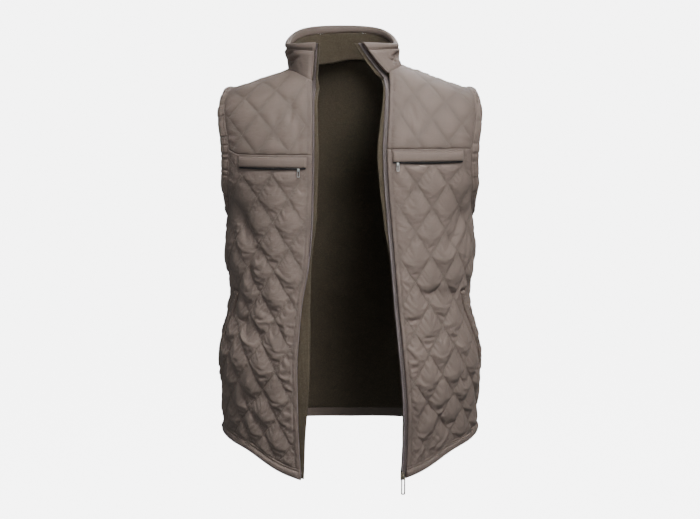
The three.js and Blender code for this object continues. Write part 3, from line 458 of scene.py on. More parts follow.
    def z_over_plan(self, out: Array, y: Array) -> Array:
        """The cap's height z over places in plan."""
        out, y = np.broadcast_arrays(np.asarray(out, float), np.abs(np.asarray(y, float)))
        low, high = np.full(out.shape, CHEST_HEIGHT), np.full(out.shape, self.top)
        height = halve(lambda tried: np.abs(self.out_at(tried, out)[..., 1]) > y, low, high)
        return self.out_at(height, out)[..., 2]


FRONT = BodyHalf(-1, "front", FRONT_CAP_POWER)
BACK = BodyHalf(1, "back", BACK_CAP_POWER)


def valley(rows: Sequence[Sequence[float]], arc: Array, height: Array) -> Array:
    """How deep the folds of a list are at pattern places.

    Args:
        rows: Folds, each with both ends, its half breadth and its depth.
        arc: Arc lengths.
        height: Heights.

    Returns:
        The depth at each place.
    """
    depth = np.zeros(np.broadcast(arc, height).shape)
    for arc0, height0, arc1, height1, breadth, deepest in rows:
        run = np.array([arc1 - arc0, height1 - height0])
        length = np.hypot(*run)
        along = ((arc - arc0) * run[0] + (height - height0) * run[1]) / length**2
        off = np.abs((arc - arc0) * run[1] - (height - height0) * run[0]) / length
        fade = np.maximum(0, 1 - (2 * along - 1) ** 2)
        depth = depth + deepest * fade * np.exp(-((off / breadth) ** 2))
    return depth


@dataclass(frozen=True)
class Sheet:
    """The cloth on one part of the form, where a back arc is below 0 on the wearer's right."""

    side: Side
    half: BodyHalf

    def lay_flat(self, arc: Array, height: Array) -> tuple[Array, Array]:
        """Gives the form's points and outward normals under pattern places."""
        points, normals = self.half.place(np.abs(arc), height)
        sign = np.where(np.asarray(arc) < 0, -1, 1) if self.side is Side.BACK else self.side.value
        turn = np.stack(np.broadcast_arrays(sign, 1, 1), axis=-1)
        return points * turn, normals * turn

    def drape(self, arc: Array, height: Array) -> tuple[Array, Array]:
        """Gives the points under pattern places with the largest folds in, and the outward normals."""
        points, normals = self.lay_flat(arc, height)
        depth = valley(FOLDS[self.side], np.asarray(arc, float), np.asarray(height, float))
        return points - normals * depth[..., None], normals

    def out_and_z(self, arc: Array, height: Array) -> tuple[Array, Array]:
        """The distance from the mid-line and the height z of pattern places."""
        points = self.lay_flat(arc, height)[0]
        return np.abs(points[..., 0]), points[..., 2]

    def edge_arc(self, height: Array, column: str, inset: float = 0.0) -> Array:
        """The arc of a front edge, moved towards the side by an inset."""
        out = np.full(np.shape(height), 80.0)
        for _ in range(5):
            z = self.half.out_at(height, out)[..., 2]
            out = FRONT_EDGES[self.side].read(column, z) + inset
        return self.half.arc_at_out(height, out)

    def chest_seam_z(self, out: Array) -> Array:
        """The height z of the chest seam at distances from the mid-line."""
        z, tip_rise = CHEST_SEAM[self.side]
        outer = CHEST_WELT[self.side][1]
        return z + tip_rise * smooth_share(outer, outer + 30, out)

    def side_welt_line(self, share: Array) -> tuple[Array, Array]:
        """The arc and height of the side welt's middle line."""
        top_inset, top, bottom_inset, bottom = SIDE_WELT[self.side]
        height = bottom + (top - bottom) * share
        inset = bottom_inset + (top_inset - bottom_inset) * share**1.3
        return self.half.side_arc(height) - inset, height


SHEETS = {
    Side.RIGHT: Sheet(Side.RIGHT, FRONT),
    Side.LEFT: Sheet(Side.LEFT, FRONT),
    Side.BACK: Sheet(Side.BACK, BACK),
}

Outline = Callable[[Sheet, Array, Array], Array]


def hem_line(sheet: Sheet, arc: Array, height: Array) -> Array:
    """Above 0 over the hem binding."""
    return height - HEM_WIDTH + SEAM_LAP + 0 * arc


def side_seam(sheet: Sheet, arc: Array, height: Array) -> Array:
    """Above 0 on this side of the side seam."""
    return sheet.half.side_arc(height) - np.abs(arc) + SEAM_LAP


def shoulder_seam(sheet: Sheet, arc: Array, height: Array) -> Array:
    """Above 0 on this side of the shoulder seam."""
    return sheet.half.top - height + SEAM_LAP + 0 * arc


def front_edge(sheet: Sheet, arc: Array, height: Array) -> Array:
    """Above 0 on the cloth's side of the front edge."""
    out, z = sheet.out_and_z(arc, height)
    return out - FRONT_EDGES[sheet.side].read("panel", z)


def neck_line(sheet: Sheet, arc: Array, height: Array) -> Array:
    """Above 0 outside the neck seam."""
    points = sheet.lay_flat(arc, height)[0]
    across = (points[..., 0] - NECK_CENTRE[0]) / NECK_HALF[0]
    along = (points[..., 1] - NECK_CENTRE[1]) / NECK_HALF[1]
    return (np.hypot(across, along) - 1) * NECK_HALF[1]


def armhole(sheet: Sheet, arc: Array, height: Array) -> Array:
    """Above 0 outside the armhole seam."""
    points = sheet.lay_flat(arc, height)[0]
    half_depth, top, bottom = ARMHOLE_SEAM
    middle = (top + bottom) / 2
    up = (points[..., 2] - middle) / (top - middle)
    return (np.hypot(points[..., 1] / half_depth, up) - 1) * half_depth


def below_chest_seam(sheet: Sheet, arc: Array, height: Array) -> Array:
    """Above 0 under the chest seam."""
    out, z = sheet.out_and_z(arc, height)
    return sheet.chest_seam_z(out) + SEAM_LAP - z


def above_chest_seam(sheet: Sheet, arc: Array, height: Array) -> Array:
    """Above 0 over the chest seam."""
    return 2 * SEAM_LAP - below_chest_seam(sheet, arc, height)


def top_stitch(sheet: Sheet, arc: Array, height: Array) -> Array:
    """0 along the row of stitches beside the front edge."""
    return front_edge(sheet, arc, height) - TOP_STITCH_INSET


def pressed_flat(sheet: Sheet, arc: Array, height: Array) -> Array:
    """Where the quilting is held down under what is sewn on it, from 0 to 1."""
    if sheet.side is Side.BACK:
        return np.zeros(np.shape(arc))
    out, z = sheet.out_and_z(arc, height)
    inner, outer = CHEST_WELT[sheet.side]
    below = sheet.chest_seam_z(out) - z
    depth = CHEST_WELT_DROP + CHEST_WELT_HEIGHT + CHEST_ZIP_HEIGHT
    chest = (below > 0) & (below < depth + PRESSED_BELOW)
    chest &= (out > inner - PRESSED_BESIDE) & (out < outer + PRESSED_BESIDE)
    top_inset, top, bottom_inset, bottom = SIDE_WELT[sheet.side]
    share = (height - bottom) / (top - bottom)
    middle = sheet.side_welt_line(np.clip(share, 0, 1))[0]
    side = (share > -PRESSED_SHARE) & (share < 1 + PRESSED_SHARE)
    side &= np.abs(arc - middle) < (SIDE_WELT_WIDTH + PRESSED_BESIDE) / 2
    return (chest | side).astype(float)


# Meshes


def lifted(points: Array, normals: Array, lift: Array) -> Array:
    """Points moved out along their normals."""
    return points + normals * lift[..., None]


def outward(points: Array, faces: Array) -> Array:
    """Turns the faces of a closed shape so that they point out."""
    first = points[faces[:, 0]]
    volume = sum(
        np.einsum("ij,ij->i", first, np.cross(points[faces[:, k]], points[faces[:, k + 1]])).sum()
        for k in range(1, faces.shape[1] - 1)
    )
    return faces if volume > 0 else faces[:, ::-1]


def link_mesh(name: str, points: Array, faces: Sequence[Sequence[int]]) -> bpy.types.Object:
    """Makes a smooth mesh object from points in millimetres, with its place in its mesh."""
    mesh = bpy.data.meshes.new(name)
    mesh.from_pydata((points * MM).tolist(), [], faces)
    mesh.polygons.foreach_set("use_smooth", np.ones(len(mesh.polygons), bool))
    piece = bpy.data.objects.new(name, mesh)
    bpy.context.scene.collection.objects.link(piece)
    mesh.update()
    return piece


def make_piece(name: str, points: Array, faces: Array, pattern: Array | None = None) -> bpy.types.Object:
    """Makes a mesh object whose faces all have as many corners.

    Args:
        name: The piece's name.
        points: Its points in millimetres.
        faces: Its faces, one a row.
        pattern: Each point's place on the flat cloth in millimetres, kept as a UV map in metres.

    Returns:
        The object.
    """
    piece = link_mesh(name, points, faces.tolist())
    if pattern is not None:
        mesh = piece.data
        corners = np.empty(len(mesh.loops), np.int32)
        mesh.loops.foreach_get("vertex_index", corners)
        uv = mesh.uv_layers.new(name="pattern")
        uv.data.foreach_set("uv", (pattern[corners] * MM).astype(np.float32).ravel())
    return piece


def keep_dip(piece: bpy.types.Object, dip: Array) -> None:
    """Keeps how much shade is painted on each point of the face where it dips, and 0 under it, for the finish
    to darken its colour by.
    """
    values = np.concatenate([dip, 0 * dip], axis=-1).ravel()
    attribute = piece.data.attributes.new("dip", "FLOAT", "POINT")
    attribute.data.foreach_set("value", values.astype(np.float32))


def strip_faces(rows: int, size: int, is_ring: bool) -> Array:
    """The faces of a strip whose rows are closed loops round its section.

    Args:
        rows: How many rows it has.
        size: How many points a row has.
        is_ring: Whether the last row joins the first.

    Returns:
        Four corners for each face.
    """
    index = np.arange(rows * size).reshape(rows, size)
    near = index if is_ring else index[:-1]
    far = np.roll(index, -1, axis=0) if is_ring else index[1:]
    sides = np.stack([near, np.roll(near, -1, 1), np.roll(far, -1, 1), far], axis=-1).reshape(-1, 4)
    if is_ring:
        return sides
    k = np.arange(size // 2 - 1)
    cap = np.stack([k, k + 1, size - 2 - k, size - 1 - k], axis=-1)
    return np.concatenate([sides, cap[:, ::-1], cap + (rows - 1) * size])


def make_strip(name: str, face: Array, under: Array, is_ring: bool = False) -> bpy.types.Object:
    """Makes a closed strip of cloth from its face and its underside.

    Args:
        name: The piece's name.
        face: Points by row along the strip and column across it, in millimetres.
        under: The points under them.
        is_ring: Whether the strip closes on itself.

    Returns:
        The object, with its flat pattern as a UV map.
    """
    rows, columns = face.shape[:2]
    points = np.concatenate([face, under[:, ::-1]], axis=1).reshape(-1, 3)
    middle = face[:, columns // 2]
    along = np.concatenate([[0], np.cumsum(np.linalg.norm(np.diff(middle, axis=0), axis=1))])
    steps = np.linalg.norm(np.diff(face, axis=1), axis=2).mean(axis=0)
    across = np.concatenate([[0], np.cumsum(steps)])
    across = np.concatenate([across, across[::-1]])
    pattern = np.stack(np.broadcast_arrays(across[None, :], along[:, None]), axis=-1).reshape(-1, 2)
    faces = outward(points, strip_faces(rows, 2 * columns, is_ring))
    return make_piece(name, points, faces, pattern)


class Copies:
    """A small shape, modelled once with operators, that is set many times into one mesh."""

    def __init__(self, model: bpy.types.Object) -> None:
        """Keeps the model's mesh and removes its object.

        Args:
            model: The modelled shape, along X, with Z out from the cloth.
        """
        self.points = np.array([v.co for v in model.data.vertices], float) / MM
        self.faces = [tuple(p.vertices) for p in model.data.polygons]
        bpy.data.objects.remove(model)

    def set_out(self, name: str, places: Array, along: Array, out: Array) -> bpy.types.Object:
        """Sets one copy at each place.

        Args:
            name: The joined piece's name.
            places: Where the copies go, in millimetres.
            along: The direction of each copy's length.
            out: The direction out of the cloth at each copy.

        Returns:
            The joined object.
        """
        x = along / np.linalg.norm(along, axis=1, keepdims=True)
        y = np.cross(out, x)
        y = y / np.linalg.norm(y, axis=1, keepdims=True)
        z = np.cross(x, y)
        turns = np.stack([x, y, z], axis=1)
        points = (places[:, None, :] + self.points @ turns).reshape(-1, 3)
        count = len(self.points)
        faces = [tuple(c + k * count for c in face) for k in range(len(places)) for face in self.faces]
        return link_mesh(name, points, faces)


def model_stitch(length: float, thickness: float) -> Copies:
    """Models one stitch, a thread that dips into the cloth at both ends.

    Args:
        length: Its length in millimetres.
        thickness: Its thickness in millimetres.

    Returns:
        The stitch, ready to be set out.
    """
    bpy.ops.mesh.primitive_cylinder_add(
        vertices=6, radius=thickness / 2 * MM, depth=length * 0.6 * MM, rotation=(0, math.pi / 2, 0),
    )
    model = bpy.context.object
    bpy.ops.object.transform_apply(location=False, rotation=True, scale=False)
    bpy.ops.object.mode_set(mode="EDIT")
    bpy.ops.mesh.select_all(action="DESELECT")
    bpy.ops.object.mode_set(mode="OBJECT")
    for polygon in model.data.polygons:
        polygon.select = abs(polygon.normal.x) > 0.9
    bpy.ops.object.mode_set(mode="EDIT")
    bpy.ops.mesh.select_mode(type="FACE")
    bpy.ops.mesh.inset(thickness=thickness * 0.22 * MM)
    bpy.ops.object.mode_set(mode="OBJECT")
    reach = length / 2 * MM
    for vertex in model.data.vertices:
        inner = math.hypot(vertex.co.y, vertex.co.z) < thickness * 0.4 * MM
        if inner:
            vertex.co.x = math.copysign(reach, vertex.co.x)
            vertex.co.z -= thickness * 0.45 * MM
    return Copies(model)


def along_line(points: Array, normals: Array, pitch: float) -> tuple[Array, Array, Array]:
    """Spaces places evenly along a line on the cloth.

    Args:
        points: The line's points in millimetres.
        normals: The direction out of the cloth at each.
        pitch: The distance between two places.

    Returns:
        Places, directions along the line and directions out of the cloth.
    """
    gaps = np.linalg.norm(np.diff(points, axis=0), axis=1)
    lengths = np.concatenate([[0], np.cumsum(gaps)])
    count = int(lengths[-1] // pitch)
    if count < 1:
        return np.zeros((0, 3)), np.zeros((0, 3)), np.zeros((0, 3))
    at = (np.arange(count) + 0.5) * lengths[-1] / count

    def read(values: Array, where: Array) -> Array:
        """Reads values along the line."""
        return np.stack([np.interp(where, lengths, values[:, axis]) for axis in range(3)], axis=-1)

    return read(points, at), read(points, at + 0.5) - read(points, at - 0.5), read(normals, at)


class Sewing:
    """Collects the places of stitches for one piece and makes them together."""

    def __init__(self, name: str, pitch: float = 3.4) -> None:
        """Starts with no stitches.

        Args:
            name: The joined piece's name.
            pitch: The length of one stitch with its gap, in millimetres.
        """
        self.name = name
        self.pitch = pitch
        self.rows: list[tuple[Array, Array, Array]] = []

    def add(self, points: Array, normals: Array, lift: float = 0.2) -> None:
        """Adds a row of stitches along a line, lifted off the cloth."""
        if len(points) > 1:
            self.rows.append(along_line(points + normals * lift, normals, self.pitch))

    def make(self, stitch: Copies, finish: "Finish", slot: str) -> None:
        """Makes all the stitches and dresses them."""
        places, along, out = (np.concatenate([row[k] for row in self.rows]) for k in range(3))
        piece = stitch.set_out(self.name, places, along, out)
        dress(piece, finish, slot)
        log.info("%s: %d stitches", self.name, len(places))


def dress(piece: bpy.types.Object, finish: "Finish", slot: str, *nodes: str, body: str = GARMENT) -> None:
    """Gives a piece its finish, its body and the nodes that it stands for.

    Args:
        piece: The object.
        finish: What it is finished with.
        slot: Not used.
        nodes: CAD nodes that it replaces.
        body: The body that it rides on.
    """
    piece.data.materials.append(finish.material())
    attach(piece, body)
    if nodes:
        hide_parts(*nodes)
    log.info("%s: %d faces", piece.name, len(piece.data.polygons))


# Finishes


class Wire:
    """One socket's value, which Python's operators join into Math nodes."""

    def __init__(self, tree: "FinishTree", socket: bpy.types.NodeSocket) -> None:
        """Wraps a socket of a tree."""
        self.tree = tree
        self.socket = socket

    def __add__(self, other: "Wire | float") -> "Wire":
        """The sum."""
        return self.tree.maths("ADD", self, other)

    def __sub__(self, other: "Wire | float") -> "Wire":
        """The difference."""
        return self.tree.maths("SUBTRACT", self, other)

    def __mul__(self, other: "Wire | float") -> "Wire":
        """The product."""
        return self.tree.maths("MULTIPLY", self, other)

    def __rsub__(self, other: float) -> "Wire":
        """A number less this."""
        return self.tree.maths("SUBTRACT", other, self)

    __radd__ = __add__
    __rmul__ = __mul__


class FinishTree:
    """A material's nodes, round one Principled shader."""

    def __init__(self, name: str) -> None:
        """Makes an empty material with its shader and output.

        Args:
            name: The material's name.
        """
        self.material = bpy.data.materials.new(name)
        self.material.use_nodes = True
        self.tree = self.material.node_tree
        self.tree.nodes.clear()
        self.shader = self.node("ShaderNodeBsdfPrincipled", {}, {})
        self.node("ShaderNodeOutputMaterial", {}, {"Surface": Wire(self, self.shader.outputs[0])})

    def node(self, kind: str, settings: dict[str, object], inputs: dict[str | int, object]) -> bpy.types.Node:
        """Adds a node, sets it and fills its sockets.

        Args:
            kind: The node's type.
            settings: Its own settings. A ramp's stops are pairs of position and colour.
            inputs: Values or wires by socket.

        Returns:
            The node.
        """
        node = self.tree.nodes.new(kind)
        for name, value in settings.items():
            if name == "stops":
                ramp = node.color_ramp
                while len(ramp.elements) < len(value):
                    ramp.elements.new(1)
                for element, (position, colour) in zip(ramp.elements, value):
                    element.position = position
                    element.color = colour
            else:
                setattr(node, name, value)
        for name, value in inputs.items():
            self._fill(node.inputs[name], value)
        return node

    def _fill(self, socket: bpy.types.NodeSocket, value: object) -> None:
        """Links a wire to a socket, or sets the socket's value."""
        if isinstance(value, Wire):
            self.tree.links.new(value.socket, socket)
        else:
            socket.default_value = value

    def maths(self, operation: str, first: Wire | float, second: Wire | float) -> Wire:
        """Joins two values with a Math node."""
        node = self.node("ShaderNodeMath", {"operation": operation}, {0: first, 1: second})
        return Wire(self, node.outputs[0])

    def out(self, node: bpy.types.Node, name: str | int) -> Wire:
        """Wraps an output of a node."""
        return Wire(self, node.outputs[name])

    def object_place(self) -> Wire:
        """Object coordinates in metres."""
        return self.out(self.node("ShaderNodeTexCoord", {}, {}), "Object")

    def pattern_place(self) -> Wire:
        """The place on the flat cloth in metres."""
        return self.out(self.node("ShaderNodeUVMap", {"uv_map": "pattern"}, {}), "UV")

    def value(self, name: str) -> Wire:
        """A number that the piece keeps for each point."""
        return self.out(self.node("ShaderNodeAttribute", {"attribute_name": name}, {}), "Fac")

    def noise(self, place: Wire, scale: float, detail: float = 3.0) -> Wire:
        """Noise with so many lumps a metre."""
        inputs = {"Vector": place, "Scale": scale, "Detail": detail, "Roughness": 0.55}
        return self.out(self.node("ShaderNodeTexNoise", {}, inputs), "Fac")

    def bands(self, place: Wire, spacing: float, direction: str, wobble: float = 0.0) -> Wire:
        """Soft bands, so many metres apart, across X or Y."""
        settings = {"wave_type": "BANDS", "bands_direction": direction}
        inputs = {"Vector": place, "Scale": math.tau / 20 / spacing, "Distortion": wobble}
        return self.out(self.node("ShaderNodeTexWave", settings, inputs), "Fac")

    def stretched(self, place: Wire, scale: tuple[float, float, float]) -> Wire:
        """A place whose axes are scaled."""
        return self.out(self.node("ShaderNodeMapping", {}, {"Vector": place, "Scale": scale}), "Vector")

    def mix(self, share: Wire, low: tuple[float, ...] | Wire, high: tuple[float, ...] | Wire) -> Wire:
        """Mixes two colours by a share."""
        inputs = {0: share, 6: low, 7: high}
        return self.out(self.node("ShaderNodeMix", {"data_type": "RGBA"}, inputs), 2)

    def between(self, value: Wire, low: float, high: float) -> Wire:
        """A value from 0 to 1 where another goes from low to high."""
        inputs = {"Value": value, "From Min": low, "From Max": high}
        return self.out(self.node("ShaderNodeMapRange", {"interpolation_type": "SMOOTHSTEP"}, inputs), 0)

    def feed(self, **inputs: object) -> None:
        """Sets or links sockets of the shader, named with underscores for spaces."""
        for name, value in inputs.items():
            self._fill(self.shader.inputs[name.replace("_", " ")], value)

    def bump(self, height: Wire, depth: float) -> None:
        """Feeds the shader's normal from a height in units of a depth in metres."""
        node = self.node("ShaderNodeBump", {}, {"Height": height, "Distance": depth, "Strength": 1.0})
        self.feed(Normal=self.out(node, 0))


@dataclass(frozen=True)
class Finish:
    """A finish with a name, a colour and a base roughness."""

    name: str
    colour: tuple[float, float, float]
    roughness: float

    def material(self) -> bpy.types.Material:
        """Makes the material once and then gives the same one."""
        made = bpy.data.materials.get(self.name)
        if made is None:
            tree = FinishTree(self.name)
            self.paint(tree)
            made = tree.material
        return made

    def paint(self, tree: FinishTree) -> None:
        """Builds the nodes, which each kind of finish does in its own way.

        Args:
            tree: The nodes, with nothing but the shader and the output.
        """
        raise NotImplementedError

    def tone(self, share: float = 1.0) -> tuple[float, float, float, float]:
        """The colour, made darker or lighter by a share, with full alpha."""
        return (self.colour[0] * share, self.colour[1] * share, self.colour[2] * share, 1.0)


@dataclass(frozen=True)
class Microfibre(Finish):
    """Peached woven shell cloth with a soft sheen, and shade painted into its colour where it dips to the
    stitches, seams and creases.
    """

    weave: float = 0.0007

    def paint(self, tree: FinishTree) -> None:
        """Mixes tones by place, paints shade into the dips and adds the weave."""
        place, flat = tree.object_place(), tree.pattern_place()
        tone = tree.noise(place, 9, 2)
        rubbed = tree.noise(tree.stretched(place, (1, 1, 0.35)), 70, 4)
        base = tree.mix(tree.between(tone, 0.3, 0.7), self.tone(0.93), self.tone(1.06))
        worn = tree.mix(tree.between(rubbed, 0.45, 0.85) * 0.3, base, self.tone(1.2))
        # Painted shade: the colour darkens by how far the cloth dips into grooves, seams and creases.
        dip = tree.value("dip")
        tree.feed(Base_Color=tree.mix(dip * 0.4, worn, self.tone(0.5)))
        tree.feed(Roughness=self.roughness + rubbed * 0.16 - 0.08)
        weft, warp = tree.bands(flat, self.weave, "X"), tree.bands(flat, self.weave, "Y")
        nap = tree.noise(place, 900, 2)
        crumple = tree.noise(tree.stretched(place, (1, 1, 2.2)), 150, 3)
        tree.bump(weft * warp * 0.5 + nap * 0.8 + rubbed * 0.9 + crumple * 2.0, 0.00022)
        tree.feed(Sheen_Weight=0.06, Sheen_Roughness=0.35, Sheen_Tint=(0.8, 0.72, 0.66, 1))
        tree.feed(Specular_IOR_Level=0.3)


@dataclass(frozen=True)
class Knit(Finish):
    """Brushed olive-brown knit with fine ribs."""

    rib: float = 0.0016
    loop: float = 0.0019

    def paint(self, tree: FinishTree) -> None:
        """Mixes two tones by fuzz and ribs."""
        place, flat = tree.object_place(), tree.pattern_place()
        fuzz = tree.noise(place, 420, 4)
        patch = tree.noise(place, 34, 3)
        ribs = tree.bands(flat, self.rib, "X", 0.6)
        loops = tree.bands(flat, self.loop, "Y", 0.8)
        pale = tree.mix(patch, self.tone(0.9), self.tone(1.15))
        dark = self.tone(0.5)
        tree.feed(Base_Color=tree.mix(tree.between(fuzz * 0.6 + ribs * loops * 0.5, 0.25, 0.62), dark, pale))
        tree.feed(Roughness=self.roughness)
        tree.bump(ribs * loops * 0.8 + fuzz * 1.2, 0.0005)
        tree.feed(Sheen_Weight=0.15, Sheen_Roughness=0.6, Sheen_Tint=(0.6, 0.56, 0.45, 1))


@dataclass(frozen=True)
class Tape(Finish):
    """Woven zip tape, ribbed along its length."""

    rib: float = 0.0011
    pick: float = 0.0008

    def paint(self, tree: FinishTree) -> None:
        """Builds the ribs of the tape and its fine weave."""
        place, flat = tree.object_place(), tree.pattern_place()
        ribs, picks = tree.bands(flat, self.rib, "X"), tree.bands(flat, self.pick, "Y")
        grime = tree.noise(place, 60, 3)
        clean = tree.mix(ribs * picks, self.tone(0.75), self.tone(1.1))
        tree.feed(Base_Color=tree.mix(tree.between(grime, 0.5, 0.8) * 0.4, clean, self.tone(0.6)))
        tree.feed(Roughness=self.roughness + grime * 0.1)
        tree.bump(ribs * 0.6 + picks * 0.4, 0.0002)


@dataclass(frozen=True)
class Thread(Finish):
    """Spun sewing thread or a moulded nylon coil."""

    gloss: float = 0.3

    def paint(self, tree: FinishTree) -> None:
        """Builds the fibres' small changes of tone."""
        place = tree.object_place()
        fibre = tree.noise(place, 1500, 2)
        tree.feed(Base_Color=tree.mix(fibre, self.tone(0.7), self.tone(1.25)))
        tree.feed(Roughness=self.roughness + fibre * 0.15, Specular_IOR_Level=self.gloss)
        tree.bump(fibre, 0.00008)


@dataclass(frozen=True)
class Plated(Finish):
    """Plated metal, rubbed duller and warmer in places."""

    def paint(self, tree: FinishTree) -> None:
        """Mixes bright plate with tarnish and fine scratches."""
        place = tree.object_place()
        tarnish = tree.between(tree.noise(place, 260, 4), 0.45, 0.75)
        scratch = tree.noise(tree.stretched(place, (1, 1, 0.15)), 2600, 2)
        dull = (self.colour[0] * 0.55, self.colour[1] * 0.5, self.colour[2] * 0.42, 1)
        tree.feed(Base_Color=tree.mix(tarnish * 0.5, self.tone(), dull))
        tree.feed(Roughness=self.roughness + tarnish * 0.2 + scratch * 0.08, Metallic=1.0)
        tree.bump(scratch, 0.00004)


SHELL = Microfibre("shell_cloth", (0.233, 0.181, 0.153), 0.62)
BINDING = Microfibre("binding_cloth", (0.23, 0.178, 0.15), 0.6)
KNIT = Knit("olive_knit", (0.125, 0.096, 0.06), 0.92)
ZIP_TAPE = Tape("zip_tape_cloth", (0.165, 0.134, 0.13), 0.7)
# The chest zips' tape and coil: near black, painting the shadow in the slit under each welt.
SHADOW_DARK_TAPE = Tape("dark_zip_cloth", (0.03, 0.026, 0.024), 0.7)
THREAD = Thread("taupe_thread", (0.3, 0.24, 0.2), 0.55)
COIL = Thread("nylon_coil", (0.27, 0.22, 0.22), 0.35, 0.5)
SHADOW_DARK_COIL = Thread("dark_coil", (0.02, 0.018, 0.017), 0.35, 0.5)
NICKEL = Plated("worn_nickel", (0.62, 0.56, 0.45), 0.24)
SILVER = Plated("bright_silver", (0.9, 0.9, 0.88), 0.34)


# Quilted panels


@dataclass
class QuiltedPanel:
    """A pattern piece of quilted shell over wadding, sewn down along its diamonds and edges.

    Its mesh starts as a lattice with so many columns and rows a diamond, between two arcs and heights.
    """

    node: str
    side: Side
    outlines: tuple[Outline, ...]
    arcs: tuple[float, float]
    heights: tuple[float, float]
    count: int
    seed: int
    fullness: float = 1.0
    seams: tuple[Outline, ...] = ()
    arc: Array = field(init=False)
    height: Array = field(init=False)
    column: Array = field(init=False)
    row: Array = field(init=False)
    triangles: Array = field(init=False)
    is_cut: Array = field(init=False)

    def build(self, stitch: Copies) -> bpy.types.Object:
        """Makes the panel and its stitches.

        Args:
            stitch: One stitch of its quilting.

        Returns:
            The panel.
        """
        self._lay_lattice()
        for outline in self.outlines:
            self._cut(outline)
        for seam in self.seams:
            self._snap(seam, seam(self.sheet, self.arc, self.height))
        self._drop_unused()
        flat, normals = self.sheet.drape(self.arc, self.height)
        lift = self._lift()
        self._face_out(flat, normals)
        outer = self._puff_up(flat, normals, lift)
        outer = lifted(outer, normals, -self._creases(lift))
        piece = self._close(outer, flat)
        # Painted shade along the stitch lines, fading as the cloth rises off them.
        keep_dip(piece, np.clip(1 - (lift - STITCH_LIFT) / PAINTED_SHADE_REACH, 0, 1))
        dress(piece, SHELL, "shell", self.node)
        self._line(piece, len(self.triangles))
        self._sew(outer, normals, stitch)
        return piece

    @property
    def sheet(self) -> Sheet:
        """The sheet that the panel is part of."""
        return SHEETS[self.side]

    def _lay_lattice(self) -> None:
        """Lays a flat lattice whose diagonals run along the stitch lines."""
        first_arc, first_height = QUILT_PHASE[self.side]
        step_arc, step_height = DIAMOND_WIDTH / self.count, DIAMOND_HEIGHT / self.count

        def numbers(ends: tuple[float, float], first: float, step: float) -> Array:
            """The numbers of the lattice lines from one end past the other."""
            return np.arange(math.floor((ends[0] - first) / step), math.ceil((ends[1] - first) / step) + 1)

        columns = numbers(self.arcs, first_arc, step_arc)
        column, row = np.meshgrid(columns, numbers(self.heights, first_height, step_height))
        index = np.arange(column.size).reshape(column.shape)
        a, b, c, d = index[:-1, :-1], index[:-1, 1:], index[1:, 1:], index[1:, :-1]
        is_falling = (column + row + 1)[:-1, :-1] % self.count == 0
        is_rising = (column - row)[:-1, :-1] % self.count == 0
        is_even = (column + row)[:-1, :-1] % 2 == 0
        falling = is_falling | (~is_rising & is_even)
        lower = np.where(falling[..., None], np.stack([a, b, d], -1), np.stack([a, b, c], -1))
        upper = np.where(falling[..., None], np.stack([b, c, d], -1), np.stack([a, c, d], -1))
        self.triangles = np.concatenate([lower.reshape(-1, 3), upper.reshape(-1, 3)])
        self.column, self.row = column.ravel(), row.ravel()
        self.arc = first_arc + self.column * step_arc
        self.height = first_height + self.row * step_height
        self.is_cut = np.zeros(column.size, bool)

    def _edges(self) -> Array:
        """Both ends of each triangle's edges."""
        return np.concatenate([self.triangles[:, [k, (k + 1) % 3]] for k in range(3)])

    def _snap(self, outline: Outline, sides: Array) -> None:
        """Moves the nearer end of each edge that crosses an outline onto it.

        Args:
            outline: The outline.
            sides: Its value at each point, set to 0 for the points that move.
        """
        edges = np.unique(np.sort(self._edges(), axis=1), axis=0)
        edges = edges[sides[edges[:, 0]] * sides[edges[:, 1]] < 0]
        inside = np.where(sides[edges[:, 0]] > 0, edges[:, 0], edges[:, 1])
        outside = np.where(sides[edges[:, 0]] > 0, edges[:, 1], edges[:, 0])

        def mixed(share: Array) -> tuple[Array, Array]:
            """The place a share of the way out."""
            arc = self.arc[inside] + (self.arc[outside] - self.arc[inside]) * share
            return arc, self.height[inside] + (self.height[outside] - self.height[inside]) * share

        zeros = np.zeros(len(edges))
        share = halve(lambda tried: outline(self.sheet, *mixed(tried)) > 0, zeros, zeros + 1, 16)
        arc, height = mixed(share)
        is_inside_moved = share < 0.5
        only_inside_cut = self.is_cut[inside] & ~self.is_cut[outside]
        only_outside_cut = self.is_cut[outside] & ~self.is_cut[inside]
        is_inside_moved = np.where(only_inside_cut, False, np.where(only_outside_cut, True, is_inside_moved))
        moved = np.where(is_inside_moved, inside, outside)
        far = np.where(is_inside_moved, share, 1 - share)
        order = np.argsort(-far)
        moved, arc, height = moved[order], arc[order], height[order]
        self.arc[moved] = arc
        self.height[moved] = height
        self.is_cut[moved] = True
        sides[moved] = 0

    def _cut(self, outline: Outline) -> None:
        """Cuts the lattice along an outline and keeps the piece's side."""
        sides = outline(self.sheet, self.arc, self.height)
        self._snap(outline, sides)
        corners = sides[self.triangles]
        middles = outline(
            self.sheet, self.arc[self.triangles].mean(axis=1), self.height[self.triangles].mean(axis=1),
        )
        self.triangles = self.triangles[(corners >= 0).all(axis=1) & (middles > 0)]

    def _drop_unused(self) -> None:
        """Keeps only the points that a triangle uses."""
        used, index = np.unique(self.triangles, return_inverse=True)
        self.triangles = index.reshape(-1, 3)
        for name in ("arc", "height", "column", "row", "is_cut"):
            setattr(self, name, getattr(self, name)[used])

    def _face_out(self, flat: Array, normals: Array) -> None:
        """Turns the triangles so that they face out of the form."""
        a, b, c = (flat[self.triangles[:, k]] for k in range(3))
        facing = np.einsum("ij,ij->i", np.cross(b - a, c - a), normals[self.triangles[:, 0]]).sum()
        if facing < 0:
            self.triangles = self.triangles[:, ::-1].copy()

    def _diamonds(self) -> tuple[Array, Array]:
        """How many diamonds along each diagonal a point is, whole on the falling or rising stitch lines."""
        arc, height = QUILT_PHASE[self.side]
        across, up = (self.arc - arc) / DIAMOND_WIDTH, (self.height - height) / DIAMOND_HEIGHT
        return across + up, across - up

